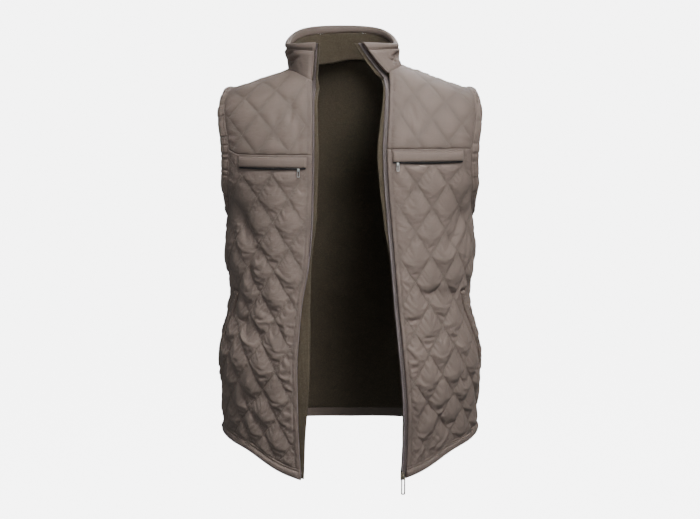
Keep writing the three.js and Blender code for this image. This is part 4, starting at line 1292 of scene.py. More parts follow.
    def _edge_distance(self) -> Array:
        """How far each point is from the nearest outline or seam, in millimetres."""
        lines = [outline(self.sheet, self.arc, self.height) for outline in self.outlines]
        lines += [np.abs(seam(self.sheet, self.arc, self.height)) for seam in self.seams]
        return np.maximum(np.min(lines, axis=0), 0)

    def _held(self) -> Array:
        """Which points are sewn down: stitch lines, seams, edges, and under what lies on top."""
        is_line = ((self.column + self.row) % self.count == 0) | ((self.column - self.row) % self.count == 0)
        pressed = pressed_flat(self.sheet, self.arc, self.height) > 0.5
        return is_line | self.is_cut | pressed

    def _lift(self) -> Array:
        """How high the cloth stands, as a smooth pillow in each diamond with small puckers."""
        shares = [place % 1 for place in self._diamonds()]
        falling, rising = (np.minimum(share, 1 - share) for share in shares)
        pillow = (np.sin(math.pi * falling) * np.sin(math.pi * rising)) ** PILLOW_POWER
        edge = np.clip(self._edge_distance() / EDGE_REACH, 0, 1) ** 0.5
        soft = SoftNoise(self.seed)
        uneven = 0.9 + 0.12 * soft.at(self.arc / 60, self.height / 70)
        pucker = np.zeros(len(self.arc))
        for away, sign, row in ((falling * PUCKERS, -1, 7.5), (rising * PUCKERS, 1, 31.5)):
            along = (self.arc / DIAMOND_WIDTH + sign * self.height / DIAMOND_HEIGHT) * PUCKERS
            pucker = pucker + np.exp(-away) * soft.at(along, row) * away
        flat = pressed_flat(self.sheet, self.arc, self.height)
        sag = 1 - PILLOW_SAG * (shares[0] - shares[1])
        puff = PUFF * pillow * sag * uneven + PUCKER_DEPTH * pucker
        puff = puff * edge * self.fullness * self._calm()
        puff = np.where(self._held(), 0, np.maximum(puff, LEAST_PUFF))
        return STITCH_LIFT + puff * (1 - flat)

    def _creases(self, lift: Array) -> Array:
        """Listed creases, soft waves, and puckers beside the armhole and the front edge.

        Args:
            lift: How high the cloth stands, which is least on the sewn lines.

        Returns:
            How far each point sinks.
        """
        soft = SoftNoise(self.seed + 50)
        waves = sum(depth * soft.at(self.arc / width, self.height / tall) for depth, width, tall in WAVES)
        waves = (waves * self.fullness + self._smiles(soft)) * self._calm()
        deep = valley(CREASES[self.side], self.arc, self.height)
        away = np.maximum(armhole(self.sheet, self.arc, self.height), 0)
        points = self.sheet.lay_flat(self.arc, self.height)[0]
        turn = np.arctan2(points[:, 1], points[:, 2] + 150) * 14
        fade = np.exp(-away / ARMHOLE_GATHER_REACH) * smooth_share(0, 5, away)
        gathers = ARMHOLE_GATHER * soft.at(turn, 3.5) * fade
        if self.side is not Side.BACK:
            beside = np.maximum(front_edge(self.sheet, self.arc, self.height), 0)
            bands = (much * np.exp(-(((beside - middle) / wide) ** 2)) for much, middle, wide in EDGE_BANDS)
            gathers = gathers + soft.at(self.height / EDGE_GATHER_PITCH, 12.5) * sum(bands)
        loose = np.clip((lift - STITCH_LIFT) / (4 * self.fullness), 0, 1)
        return (waves + deep) * loose + gathers * np.clip(loose * 4, 0, 1)

    def _calm(self) -> Array:
        """How full the puffs are at each point: the lower fronts lie flatter towards the chest."""
        if self.side is Side.BACK or self.fullness < 1:
            return np.ones(len(self.height))
        return 1 - CALM_SHARE * smooth_share(CALM_FROM, CALM_TO, self.height)

    def _smiles(self, soft: SoftNoise) -> Array:
        """A short sagging crease low in some diamonds, deeper towards the hem."""
        along, back = self._diamonds()
        column, row = np.floor(along), np.floor(back)
        u, v = along - column, back - row
        sideways, upwards = (u + v - 1) / 2, (u - v) / 2
        depth = np.zeros(len(u))
        for level, spread in SMILES:
            chance = soft.at(column * 7 + 100 * level, row * 5)
            line = level + 0.06 * soft.at(column * 3, row * 11) + 1.5 * sideways**2
            off = (upwards - line) * DIAMOND_HEIGHT / SMILE_BREADTH
            fold = np.exp(-(off**2) - (sideways / spread) ** 2)
            depth = depth + fold * np.clip(0.3 + chance, 0, 1)
        return SMILE_DEPTH * depth * (1 - 0.7 * smooth_share(*SMILE_FADE, self.height)) * self.fullness

    def _puff_up(self, flat: Array, normals: Array, lift: Array) -> Array:
        """Lets the cloth swell and sag between its stitches in a cloth simulation.

        Args:
            flat: The form's points under the cloth.
            normals: The directions out of it.
            lift: How high the cloth starts.

        Returns:
            The cloth's points at the end.
        """
        start = (lift - STITCH_LIFT) * START_SHARE / self._calm()
        begun = lifted(flat, normals, STITCH_LIFT + start)
        piece = make_piece(f"{self.node}_swelling", begun, self.triangles)
        held = np.flatnonzero(self._held()).tolist()
        piece.vertex_groups.new(name="sewn").add(held, 1.0, "REPLACE")
        cloth = piece.modifiers.new("Cloth", "CLOTH")
        settings = cloth.settings
        for name, value in SWELL_SETTINGS.items():
            setattr(settings, name, value)
        settings.vertex_group_mass = "sewn"
        settings.shrink_min = -SPARE_CLOTH * self.fullness**2
        settings.effector_weights.gravity = SAG_GRAVITY * self.fullness
        cloth.collision_settings.use_collision = False
        cloth.point_cache.frame_start = 1
        cloth.point_cache.frame_end = SWELL_FRAMES
        scene = bpy.context.scene
        for step in range(1, SWELL_FRAMES + 1):
            scene.frame_set(step)
        shaped = piece.evaluated_get(bpy.context.evaluated_depsgraph_get())
        points = np.empty(len(piece.data.vertices) * 3, np.float32)
        shaped.data.vertices.foreach_get("co", points)
        move = points.reshape(-1, 3) / MM - flat
        scene.frame_set(1)
        bpy.data.objects.remove(piece)
        rise = np.einsum("ij,ij->i", move, normals)
        slide = move - normals * rise[:, None]
        far = np.linalg.norm(slide, axis=1, keepdims=True)
        slide = slide * np.minimum(1, MOST_SLIDE / np.maximum(far, 1e-6))
        calm = self._calm()
        rise = np.clip(rise, STITCH_LIFT * 0.8, STITCH_LIFT + PUFF * 1.3)
        rise = STITCH_LIFT + (rise - STITCH_LIFT) * calm
        return lifted(flat + slide * calm[:, None], normals, rise)

    def _close(self, outer: Array, inner: Array) -> bpy.types.Object:
        """Joins the outer cloth and the plain inner side round every edge."""
        count = len(outer)
        edges = self._edges()
        codes = edges[:, 0] * count + edges[:, 1]
        is_rim = ~np.isin(codes, edges[:, 1] * count + edges[:, 0])
        start, end = edges[is_rim].T
        rim = np.concatenate([
            np.stack([start, start + count, end + count], 1), np.stack([start, end + count, end], 1),
        ])
        faces = np.concatenate([self.triangles, self.triangles[:, ::-1] + count, rim])
        points = np.concatenate([outer, inner])
        pattern = np.tile(np.stack([self.arc, self.height], axis=1), (2, 1))
        return make_piece(f"{self.node}_quilting", points, outward(points, faces), pattern)

    def _line(self, piece: bpy.types.Object, count: int) -> None:
        """Gives the inner side the lining's knit.

        Args:
            piece: The panel.
            count: How many faces its outer side has.
        """
        piece.data.materials.append(KNIT.material())
        index = np.zeros(len(piece.data.polygons), np.int32)
        index[count:2 * count] = 1
        piece.data.polygons.foreach_set("material_index", index)

    def _sew(self, outer: Array, normals: Array, stitch: Copies) -> None:
        """Sews along the stitch lines that show."""
        sewing = Sewing(f"stitches_{self.node}")
        is_free = pressed_flat(self.sheet, self.arc, self.height) < 0.5
        is_free &= self._edge_distance() > 3
        for line in (self.column + self.row, self.column - self.row):
            points = np.flatnonzero((line % self.count == 0) & is_free)
            for number in np.unique(line[points]):
                chain = points[line[points] == number]
                chain = chain[np.argsort(self.row[chain])]
                breaks = np.flatnonzero(np.diff(self.row[chain]) > 1) + 1
                for part in np.split(chain, breaks):
                    sewing.add(outer[part], normals[part])
        sewing.make(stitch, THREAD, "shell")


def make_panels() -> None:
    """Makes the four front panels and the back."""
    stitch = model_stitch(2.7, 0.55)
    for seed, side in enumerate((Side.RIGHT, Side.LEFT)):
        lower = (hem_line, side_seam, below_chest_seam, armhole, front_edge)
        upper = (shoulder_seam, above_chest_seam, armhole, neck_line, front_edge)
        name, arcs, seams = f"front_{side.word}", (40, 360), (top_stitch,)
        QuiltedPanel(f"{name}_lower", side, lower, arcs, (0, 560), 32, 11 + seed, seams=seams).build(stitch)
        QuiltedPanel(
            f"{name}_yoke", side, upper, arcs, (460, FRONT.top), 24, 21 + seed, YOKE_FULLNESS, seams,
        ).build(stitch)
    around = (shoulder_seam, hem_line, side_seam, armhole, neck_line)
    QuiltedPanel("back", Side.BACK, around, (-400, 400), (0, BACK.top + 20), 20, 31).build(stitch)


# Bindings


def oval_point(oval: tuple[float, float, float], angle: Array) -> tuple[Array, Array]:
    """The y and z of an upright oval at angles from its top."""
    half_depth, top, bottom = oval
    middle = (top + bottom) / 2
    return half_depth * np.sin(angle), middle + (top - middle) * np.cos(angle)


@dataclass
class ArmholeBinding:
    """A folded strip, gathered where it is sewn round the armhole.

    A share is 0 on the seam, 1 at the free edge and below 0 in the tongue that lies under the quilting.
    """

    side: Side
    seed: int
    steps: int = 460
    cut: tuple[float, float] = (0.025, 0.62)
    groove_share: float = 0.17
    shares: tuple[float, ...] = (-0.34, -0.08, 0.0, 0.08, 0.17, 0.24, 0.34, 0.46, 0.6, 0.74, 0.86, 0.94, 1.0)
    # How high the strip stands at some shares, lowest in the groove of its stitches
    crown_shares: tuple[float, ...] = (-0.34, -0.08, 0.0, 0.1, 0.17, 0.26, 0.5, 0.8, 0.94, 1)
    crown_lifts: tuple[float, ...] = (1.7, 1.9, 3.6, 4.6, 3.6, 5.8, 7.2, 7.2, 5.8, 3.0)

    def _place(self, share: Array, angle: Array) -> tuple[Array, Array]:
        """The form's points and normals from the seam, at 0, to the free edge, at 1."""
        seam_y, seam_z = oval_point(ARMHOLE_SEAM, angle)
        edge_y, edge_z = oval_point(ARMHOLE_EDGE, angle)
        y, z = seam_y + (edge_y - seam_y) * share, seam_z + (edge_z - seam_z) * share
        points, normals = np.empty(share.shape + (3,)), np.empty(share.shape + (3,))
        for half, sheet_side, picked in ((FRONT, self.side, seam_y < 0), (BACK, Side.BACK, seam_y >= 0)):
            arc, height = half.from_side(y[picked], z[picked])
            signed = arc * self.side.value if half is BACK else arc
            points[picked], normals[picked] = SHEETS[sheet_side].drape(signed, height)
        return points, normals

    def build(self, sewing: Sewing) -> None:
        """Makes the binding and its row of stitches."""
        angle = (np.arange(self.steps) + 0.5) / self.steps * math.tau
        shares = np.array(self.shares)
        share, turn = np.meshgrid(shares, angle)
        points, normals = self._place(share, turn)
        soft = SoftNoise(self.seed)
        along = turn / math.tau * 62
        deep = 0.75 + 0.5 * soft.at(turn * 1.3, 3.5)
        pinch = np.clip(1 - 4 * np.abs(soft.at(along * 0.8 + share * 0.4, 20.5)), 0, 1)
        gather = soft.at(along, 0.5) * 1.2 + soft.at(along * 2.1, 9.5) * 0.5 - 2.4 * pinch
        fade = 1 - 0.4 * smooth_share(0.15, 1.0, share)
        crown = np.interp(shares, self.crown_shares, self.crown_lifts)
        lift = crown[None, :] + gather * deep * fade * (share > 0)
        face = lifted(points, normals, lift)
        under = lifted(points, normals, np.where(share < 0, 0.9, np.where(share > 0.1, 0.2, 0)))
        name = f"armhole_binding_{self.side.word}"
        piece = make_strip(f"{name}_cloth", face, under, is_ring=True)
        # Painted shade in the valleys of the gathers and along the seam.
        dip = np.clip(np.clip(-gather * 0.7, 0, 1) * fade + 0.8 * (share < 0.08), 0, 1)
        keep_dip(piece, dip)
        dress(piece, BINDING, "binding", name)
        groove = self.shares.index(self.groove_share)
        ring = np.r_[np.arange(self.steps), 0]
        sewing.add(face[ring, groove], normals[ring, groove])


@dataclass
class HemBand:
    """One folded strip along the whole hem, with a row of stitches near its top."""

    cut: tuple[float, float] = (0.0195, 1.24)
    groove_height: float = 14.0
    span: float = 400.0
    heights: tuple[float, ...] = (0.0, 0.5, 1.6, 3.4, 6.0, 9.0, 11.8, 13.2, 14.0, 14.8, 16.0, 18.4)
    lifts: tuple[float, ...] = (1.4, 3.8, 5.6, 6.8, 7.4, 7.2, 6.0, 4.6, 3.2, 4.0, 4.6, 2.7)

    def build(self, sewing: Sewing) -> None:
        """Makes the band and its row of stitches."""
        heights, lifts = np.array(self.heights), np.array(self.lifts)
        soft = SoftNoise(71)
        rows = []
        travelled = 0.0
        for side, steps in ((Side.RIGHT, 130), (Side.BACK, 260), (Side.LEFT, 130)):
            sheet = SHEETS[side]
            share = np.linspace(0, 1, steps, endpoint=side is Side.LEFT)
            most = sheet.half.side_arc(heights)
            if side is Side.BACK:
                arc = (2 * share[:, None] - 1) * most
            else:
                edge = sheet.edge_arc(heights, "panel")
                from_edge = share if side is Side.RIGHT else 1 - share
                arc = edge + (most - edge) * from_edge[:, None]
            height = np.broadcast_to(heights, arc.shape)
            along = travelled + share[:, None] * self.span
            travelled += self.span
            ripple = 0.7 * soft.at(along / 6 + height / 9, height / 14) + 0.4 * soft.at(along / 23, 5.5)
            shape = lifts + ripple * smooth_share(0, 4, height)
            points, normals = sheet.drape(arc, height)
            rows.append((points, normals, shape, ripple))
        points, normals, shape, ripple = (np.concatenate([row[k] for row in rows]) for k in range(4))
        face = lifted(points, normals, shape)
        under = points + normals * np.where(heights > HEM_WIDTH, 1.2, 0)[:, None]
        piece = make_strip("hem_binding_cloth", face, under)
        # Painted shade in the valleys of the ripples.
        keep_dip(piece, np.clip(-ripple, 0, 1))
        dress(piece, BINDING, "binding", "hem_binding")
        groove = self.heights.index(self.groove_height)
        sewing.add(face[:, groove], normals[:, groove])


# Collar


def out_round(angle: Array) -> Array:
    """The level directions outwards at degrees round the neck from the centre back."""
    turn = np.radians(angle)
    return np.stack([np.sin(turn), np.cos(turn), 0 * turn], axis=-1)


@dataclass
class StandCollar:
    """A padded stand collar with crumpled ends, a knit lining and a rolled binding."""

    wall: float = 4.2
    lining_wall: float = 1.4
    lining_gap: float = 1.4
    top_centre: tuple[float, float] = (-15.0, 0.0)
    top_half: tuple[float, float] = (98.0, 82.0)
    right_end: tuple[float, float] = (-143.0, -152.0)
    left_end: tuple[float, float] = (132.0, 158.0)
    columns: int = 300
    # The share at which the cloth ends under the binding, and that of the binding's groove
    cloth_top: float = 0.785
    groove_share: float = 0.822
    # The surface's millimetres in a degree round it and in its height
    degree: float = 1.66
    tall: float = 66.0
    lining_cut: tuple[float, float] = (0.056, 0.45)
    binding_cut: tuple[float, float] = (0.017, 0.46)
    top: Table = Table(
        ("angle", "z"), ((-45, 70), (0, 76), (45, 70), (90, 44), (120, 41), (160, 42)),
    )
    # Crumples, as in the solids: angle, share of the height, both spreads, depth
    crumples: tuple[tuple[float, ...], ...] = (
        (-112, 0.45, 7, 0.2, 5), (-96, 0.7, 6, 0.2, -3), (104, 0.5, 8, 0.18, 7),
        (120, 0.25, 7, 0.2, -4), (88, 0.25, 7, 0.25, 4), (20, 0.5, 14, 0.3, 2),
    )
    # Finer creases: angle and share of both ends, half breadth in millimetres, depth
    creases: tuple[tuple[float, ...], ...] = (
        (-134, 0.6, -98, 0.3, 3, 4.4), (-126, 0.74, -96, 0.56, 3, 4.0), (-112, 0.1, -88, 0.5, 4, 4.4),
        (-122, 0.44, -100, 0.16, 3, 3.6), (96, 0.62, 126, 0.5, 3.4, 4.4), (84, 0.5, 104, 0.2, 3.5, 3.6),
        (108, 0.22, 130, 0.46, 3, 3.4), (110, 0.5, 124, 0.2, 6, 6.5),
        (60, 0.3, 84, 0.6, 4, 1.4), (-60, 0.4, -20, 0.6, 5, 1.2), (16, 0.3, 50, 0.62, 5, 1.2),
    )

    def _low(self, angle: Array) -> Array:
        """The points where the collar is sewn to the neck."""
        turn = np.radians(angle)
        x = NECK_CENTRE[0] + (NECK_HALF[0] - COLLAR_SEAM_GAP) * np.sin(turn)
        y = NECK_CENTRE[1] + (NECK_HALF[1] - COLLAR_SEAM_GAP) * np.cos(turn)
        z = np.where(y < 0, FRONT.z_over_plan(np.abs(x), y), BACK.z_over_plan(np.abs(x), y)) - 1
        return np.stack([x, y, z], axis=-1)

    def point(self, angle: Array, share: Array, inward: Array | float) -> Array:
        """Gives points of the collar.

        Args:
            angle: Degrees from the centre back, above 0 on the wearer's left.
            share: 0 at the neck seam and 1 at the top.
            inward: How far inside the outer surface.

        Returns:
            The points in millimetres.
        """
        angle, share = np.broadcast_arrays(np.asarray(angle, float), np.asarray(share, float))
        turn = np.radians(angle)
        keys = np.linspace(-175, 175, 351)
        lows = self._low(keys)
        low = np.stack([np.interp(angle, keys, lows[:, axis]) for axis in range(3)], axis=-1)
        top_x = self.top_centre[0] + self.top_half[0] * np.sin(turn)
        top_y = self.top_centre[1] + self.top_half[1] * np.cos(turn)
        high = np.stack([top_x, top_y, self.top.read("z", np.abs(angle))], axis=-1)
        sink = np.zeros(angle.shape)
        for at, at_share, spread, spread_share, depth in self.crumples:
            off = ((angle - at) / spread) ** 2 + ((share - at_share) / spread_share) ** 2
            sink = sink + depth * np.exp(-off)
        loose = np.sin(math.pi * np.minimum(share * 1.2, 1))
        return low + (high - low) * share[..., None] - out_round(angle) * (inward + sink * loose)[..., None]

    def angle(self, share: Array, around: Array) -> Array:
        """The angle at a share of the way from the right end to the left one."""
        right = self.right_end[0] + (self.right_end[1] - self.right_end[0]) * share
        left = self.left_end[0] + (self.left_end[1] - self.left_end[0]) * share
        return right + (left - right) * around

    def _grid(self, shares: Array) -> tuple[Array, Array]:
        """Angles and shares by row round the collar and column up it."""
        share, around = np.meshgrid(shares, np.linspace(0, 1, self.columns))
        return self.angle(share, around), share

    def _crease(self, angle: Array, share: Array) -> Array:
        """How deep the finer creases are, with small waves."""
        soft = SoftNoise(83)
        around, up = self.degree, self.tall
        rows = [(a * around, s * up, b * around, e * up, w, d) for a, s, b, e, w, d in self.creases]
        waves = 0.5 * soft.at(angle / 7, share * 4) + 0.3 * soft.at(angle / 3.2, share * 7)
        return valley(rows, angle * around, share * up) + waves

    def _thickness(self, share: Array) -> Array:
        """How thick the padding is, which thins towards both seams."""
        return np.interp(share, (0, 0.28, 0.56, self.cloth_top), (2.9, self.wall, self.wall, 3.4))

    def build(self, sewing: Sewing) -> None:
        """Makes the collar, its lining and its binding."""
        self._make_shell()
        self._make_lining()
        self._make_binding(sewing)

    def _make_shell(self) -> None:
        """Makes the padded outer cloth."""
        angle, share = self._grid(np.linspace(0, self.cloth_top, 26))
        low = smooth_share(0, 0.16, share)
        high = 1 - smooth_share(0.68, self.cloth_top, share)
        swell = 2.6 * (low * high) ** 0.8
        ends = smooth_share(0, 4, angle - angle[:1]) * smooth_share(0, 4, angle[-1:] - angle)
        swell = swell * (0.35 + 0.65 * ends)
        line = np.abs((angle - 70) * self.degree * 0.5 + (share - 0.35) * self.tall * 0.86)
        is_left = smooth_share(40, 50, angle) * (1 - smooth_share(112, 120, angle))
        quilted = swell * (1 - 0.85 * np.exp(-((line / 2.6) ** 2)) * is_left)
        depth = self._crease(angle, share) * low * high
        face = self.point(angle, share, depth - quilted - 2.4 * (1 - low))
        under = self.point(angle, share, self._thickness(share))
        piece = make_strip("collar_cloth", face, under)
        # Painted shade in the creases, along the quilting line and near the neck seam.
        dip = np.clip(0.3 * depth + np.exp(-((line / 2.2) ** 2)) * is_left * 0.8 + (1 - low) * 0.7, 0, 1)
        keep_dip(piece, dip)
        dress(piece, SHELL, "shell", "collar")

    def _make_lining(self) -> None:
        """Makes the knit inner face."""
        angle, share = self._grid(np.linspace(0, self.cloth_top, 14))
        inward = self._thickness(share) + self.lining_gap
        waves = 0.5 * SoftNoise(84).at(angle / 9, share * 5)
        face = self.point(angle, share, inward)
        under = self.point(angle, share, inward + self.lining_wall + waves)
        piece = make_strip("collar_lining_knit", face, under)
        dress(piece, KNIT, "knit_lining", "collar_lining")

    def _make_binding(self, sewing: Sewing) -> None:
        """Makes the rolled strip on the top edge."""
        turn = np.linspace(-0.12, math.pi + 0.12, 15)
        middle, half, thick = 0.89, 0.105, 4.2
        shares = middle - half * np.cos(turn)
        angle, share = self._grid(shares)
        soft = SoftNoise(85)
        ripple = 0.45 * soft.at(angle / 4.5, 2.5) + 0.3 * soft.at(angle / 11, share * 3)
        roll = np.sin(np.clip(turn, 0, math.pi)) ** 0.6
        groove = 1.4 * np.exp(-(((shares - self.groove_share) / 0.014) ** 2))
        face = self.point(angle, share, 2.2 - thick * roll + groove - ripple * roll)
        under = self.point(angle, share, 3.4 + thick * roll + 0.4)
        piece = make_strip("collar_binding_cloth", face, under)
        # Painted shade in the groove of the stitches and in the valleys of the ripples.
        dip = np.broadcast_to(groove / 2, angle.shape) + np.clip(-ripple, 0, 1) * 0.6
        keep_dip(piece, dip)
        dress(piece, BINDING, "binding", "collar_binding")
        row = int(np.argmin(np.abs(shares - self.groove_share)))
        sewing.add(face[:, row], out_round(angle[:, row]))


# Front zip


@dataclass(frozen=True)
class Layer:
    """How a strip lies behind the front edge and up inside the collar's end."""

    behind: float
    wall: float
    inside_collar: float
    degrees_shown: float
    degrees_tucked: float
    columns: int
    stray: float


@dataclass
class FrontEdge:
    """One side's zip tape, its coil and the knit facing behind it, up to the collar's end."""

    side: Side
    collar: StandCollar
    show: float = 6.5
    collar_show: float = 5.0
    end_show: float = 3.6
    tape_tuck: float = 5.0
    tape_wall: float = 1.5
    facing_tuck: float = 14.0
    facing_wall: float = 1.8
    laid_gap: float = 1.0
    collar_gap: float = 2.3
    pitch: float = 1.55
    tape_cut: tuple[float, float] = (0.0115, 0.74)
    facing_cut: tuple[float, float] = (0.027, 0.74)
    end_shares: tuple[float, ...] = (0.08, 0.3, 0.55, 0.8, 0.97)

    @property
    def sheet(self) -> Sheet:
        """The front that the edge is on."""
        return SHEETS[self.side]

    def _neck_height(self) -> float:
        """The height at which the front edge meets the neck seam."""
        heights = np.linspace(CHEST_HEIGHT, FRONT.top, 400)
        values = neck_line(self.sheet, self.sheet.edge_arc(heights, "panel"), heights)
        return float(heights[np.argmax(values <= 0)])

    def _shown(self, height: Array) -> Array:
        """The share of the tape's margin that shows at a height."""
        return 1.0 if self.side is Side.LEFT else 0.1 + 0.9 * smooth_share(260, 430, height)

    def _strip(
        self, free: Callable[[Array], Array], tucked: float, layer: Layer,
    ) -> tuple[Array, Array, Array]:
        """Lays a strip behind the front edge and up the collar's end.

        Args:
            free: The arc of its free edge at each height.
            tucked: How far it reaches behind the panel.
            layer: How it lies.

        Returns:
            The face, the underside and the direction out at each row.
        """
        top = self._neck_height() - 7
        heights = np.linspace(1.5, top, 190)
        back = smooth_share(top - 34, top, heights) * (layer.inside_collar + 0.1)
        soft = SoftNoise(91 + self.side.value)
        stray = layer.stray * (soft.at(heights / 40, 1.5) + 0.5 * soft.at(heights / 14, 4.5))
        share = np.linspace(0, 1, layer.columns)
        first, last = free(heights) + stray, self.sheet.edge_arc(heights, "panel", tucked)
        arc = first[:, None] + (last - first)[:, None] * share
        height = np.broadcast_to(heights[:, None], arc.shape)
        ripple = layer.stray * 0.5 * soft.at(height / 12, share * 3)
        sunk = -(layer.behind + back)[:, None] + ripple
        points, normals = self.sheet.drape(arc, height)
        face, under = lifted(points, normals, sunk), lifted(points, normals, sunk - layer.wall)
        sign = self.side.value
        shares = np.interp(np.linspace(0, 1, 34), np.linspace(0, 1, 5), self.end_shares)
        end = self.collar.angle(shares, np.full(shares.shape, 0.0 if sign < 0 else 1.0))
        shown, reach = layer.degrees_shown, layer.degrees_shown + layer.degrees_tucked
        angle = end[:, None] + sign * (shown - reach * share)
        level = np.broadcast_to(shares[:, None], angle.shape)
        face = np.concatenate([face, self.collar.point(angle, level, layer.inside_collar)])
        under = np.concatenate([under, self.collar.point(angle, level, layer.inside_collar + layer.wall)])
        return face, under, np.concatenate([normals, out_round(angle)])

    def build(self, sewing: Sewing, tooth: Copies) -> None:
        """Makes the tape, its coil and the facing.

        Args:
            sewing: Where its stitches are collected.
            tooth: One turn of the coil.
        """
        sheet, word = self.sheet, self.side.word
        inside = self.collar.wall + self.collar.lining_wall + self.collar.lining_gap + self.collar_gap
        layer = Layer(self.laid_gap, self.tape_wall, inside, self.end_show, 1.6, 6, 0.25)

        def tape_edge(height: Array) -> Array:
            """The arc of the tape's free edge."""
            return sheet.edge_arc(height, "panel", -self.show * self._shown(height))

        face, under, normals = self._strip(tape_edge, self.tape_tuck, layer)
        tape = make_strip(f"zip_tape_{word}_cloth", face, under)
        dress(tape, ZIP_TAPE, "zip_tape", f"zip_tape_{word}")
        along = face[:, 0] + (face[:, 1] - face[:, 0]) * 0.45
        places, forward, out = along_line(along + normals[:, 0] * 0.5, normals[:, 0], self.pitch)
        coil = tooth.set_out(f"zip_coil_{word}", places, forward, out)
        dress(coil, COIL, "zip_tape")
        sewing.add(face[:, 2], normals[:, 2])
        behind = self.laid_gap + self.tape_wall + 2 * SEAM_GAP
        inside = inside + self.tape_wall + SEAM_GAP
        layer = Layer(behind, self.facing_wall, inside, self.collar_show, 4, 12, 0.7)
        face, under, _ = self._strip(lambda height: sheet.edge_arc(height, "facing"), self.facing_tuck, layer)
        facing = make_strip(f"facing_{word}_knit", face, under)
        dress(facing, KNIT, "knit_lining", f"facing_{word}")


def model_coil_turn() -> Copies:
    """Models one turn of the zip's coil: a bead across the tape with a hooked head."""
    bpy.ops.mesh.primitive_uv_sphere_add(segments=8, ring_count=5, radius=0.5 * MM)
    model = bpy.context.object
    bpy.ops.object.mode_set(mode="EDIT")
    bpy.ops.mesh.select_all(action="SELECT")
    bpy.ops.transform.resize(value=(1.15, 3.2, 1.3))
    bpy.ops.object.mode_set(mode="OBJECT")
    for vertex in model.data.vertices:
        if vertex.co.y > 0.9 * MM:
            vertex.co.x *= 1.5
            vertex.co.z += 0.1 * MM
    return Copies(model)


# Pockets


@dataclass
class ChestPocket:
    """A plain flat welt in the chest seam over a zipped slit."""

    side: Side
    zip_wall: float = 1.4
    steps: int = 90
    cut: tuple[float, float] = (0.118, 0.0185)
    zip_cut: tuple[float, float] = (0.118, 0.01)
    slit_width: float = 0.0045
    # The welt's section: how far down from its top, of 17, and how high it stands there
    downs: tuple[float, ...] = (0, 0.4, 1.3, 2.2, 3.2, 5, 8, 11.5, 14.2, 15.8, 16.6, 17)
    stands: tuple[float, ...] = (0.6, 1.9, 2.7, 2.1, 2.7, 3.05, 3.2, 3.2, 3.0, 2.6, 1.9, 0.8)

    def _rows(self, drops: Array, margin: float = 0.0) -> tuple[Array, Array]:
        """Points and normals by row across the chest and column down from the seam."""
        sheet = SHEETS[self.side]
        inner, outer = CHEST_WELT[self.side]
        drop, out = np.meshgrid(drops, np.linspace(inner + margin, outer - margin, self.steps))
        height = sheet.half.height_at_z(out, sheet.chest_seam_z(out) - drop)
        arc = sheet.half.arc_at_out(height, out)
        return sheet.drape(arc, height)

    def build(self, sewing: Sewing, tooth: Copies) -> None:
        """Makes the welt, the zip in the slit and its teeth.

        Args:
            sewing: Where its stitches are collected.
            tooth: One turn of the coil.
        """
        self._make_welt(sewing)
        self._make_zip(tooth)

    def _make_welt(self, sewing: Sewing) -> None:
        """Makes the folded welt and sews its top and both ends."""
        word = self.side.word
        drops = CHEST_WELT_DROP + np.array(self.downs) / 17 * CHEST_WELT_HEIGHT
        shape = np.array(self.stands)
        points, normals = self._rows(drops)
        soft = SoftNoise(61 + self.side.value)
        row = np.arange(self.steps)[:, None]
        ripple = 0.28 * soft.at(row / 9, drops[None, :] / 9)
        ends = np.minimum(row, self.steps - 1 - row)
        rounded = np.clip(ends / 2, 0.6, 1)
        lift = WELT_EDGE + (shape[None, :] + ripple + WELT_BODY) * rounded
        face, under = lifted(points, normals, lift), points + normals * WELT_UNDER
        piece = make_strip(f"chest_welt_{word}_cloth", face, under)
        # Painted shade where the welt stands low: at its edges and in the groove near its top.
        dip = np.broadcast_to(np.clip(1 - shape / 2.4, 0, 1), ripple.shape)
        keep_dip(piece, dip)
        dress(piece, BINDING, "binding", f"chest_welt_{word}")
        sewing.add(face[2:-2, 3], normals[2:-2, 3])
        for end in (2, self.steps - 3):
            sewing.add(face[end, 2:-1], normals[end, 2:-1])

    def _make_zip(self, tooth: Copies) -> None:
        """Makes the tape in the slit, widest in its middle, and its teeth, near black to paint the shadow
        under the welt.
        """
        word = self.side.word
        top = CHEST_WELT_DROP + CHEST_WELT_HEIGHT + SEAM_GAP
        drops = top + np.linspace(0, CHEST_ZIP_HEIGHT, 5)
        points, normals = self._rows(drops, 1.0)
        open_share = 0.3 + 0.45 * np.sin(np.linspace(0, math.pi, self.steps)) ** 0.7
        points = points[:, :1] + (points - points[:, :1]) * open_share[:, None, None]
        low = LAID_ON - 0.6
        face, under = points + normals * (low + self.zip_wall), points + normals * low
        tape = make_strip(f"chest_zip_{word}_cloth", face, under)
        dress(tape, SHADOW_DARK_TAPE, "dark_zip", f"chest_zip_{word}")
        places, forward, out = along_line(face[:, 2] + normals[:, 2] * 0.1, normals[:, 2], 1.5)
        teeth = tooth.set_out(f"chest_zip_coil_{word}", places, forward, out)
        dress(teeth, SHADOW_DARK_COIL, "dark_zip")


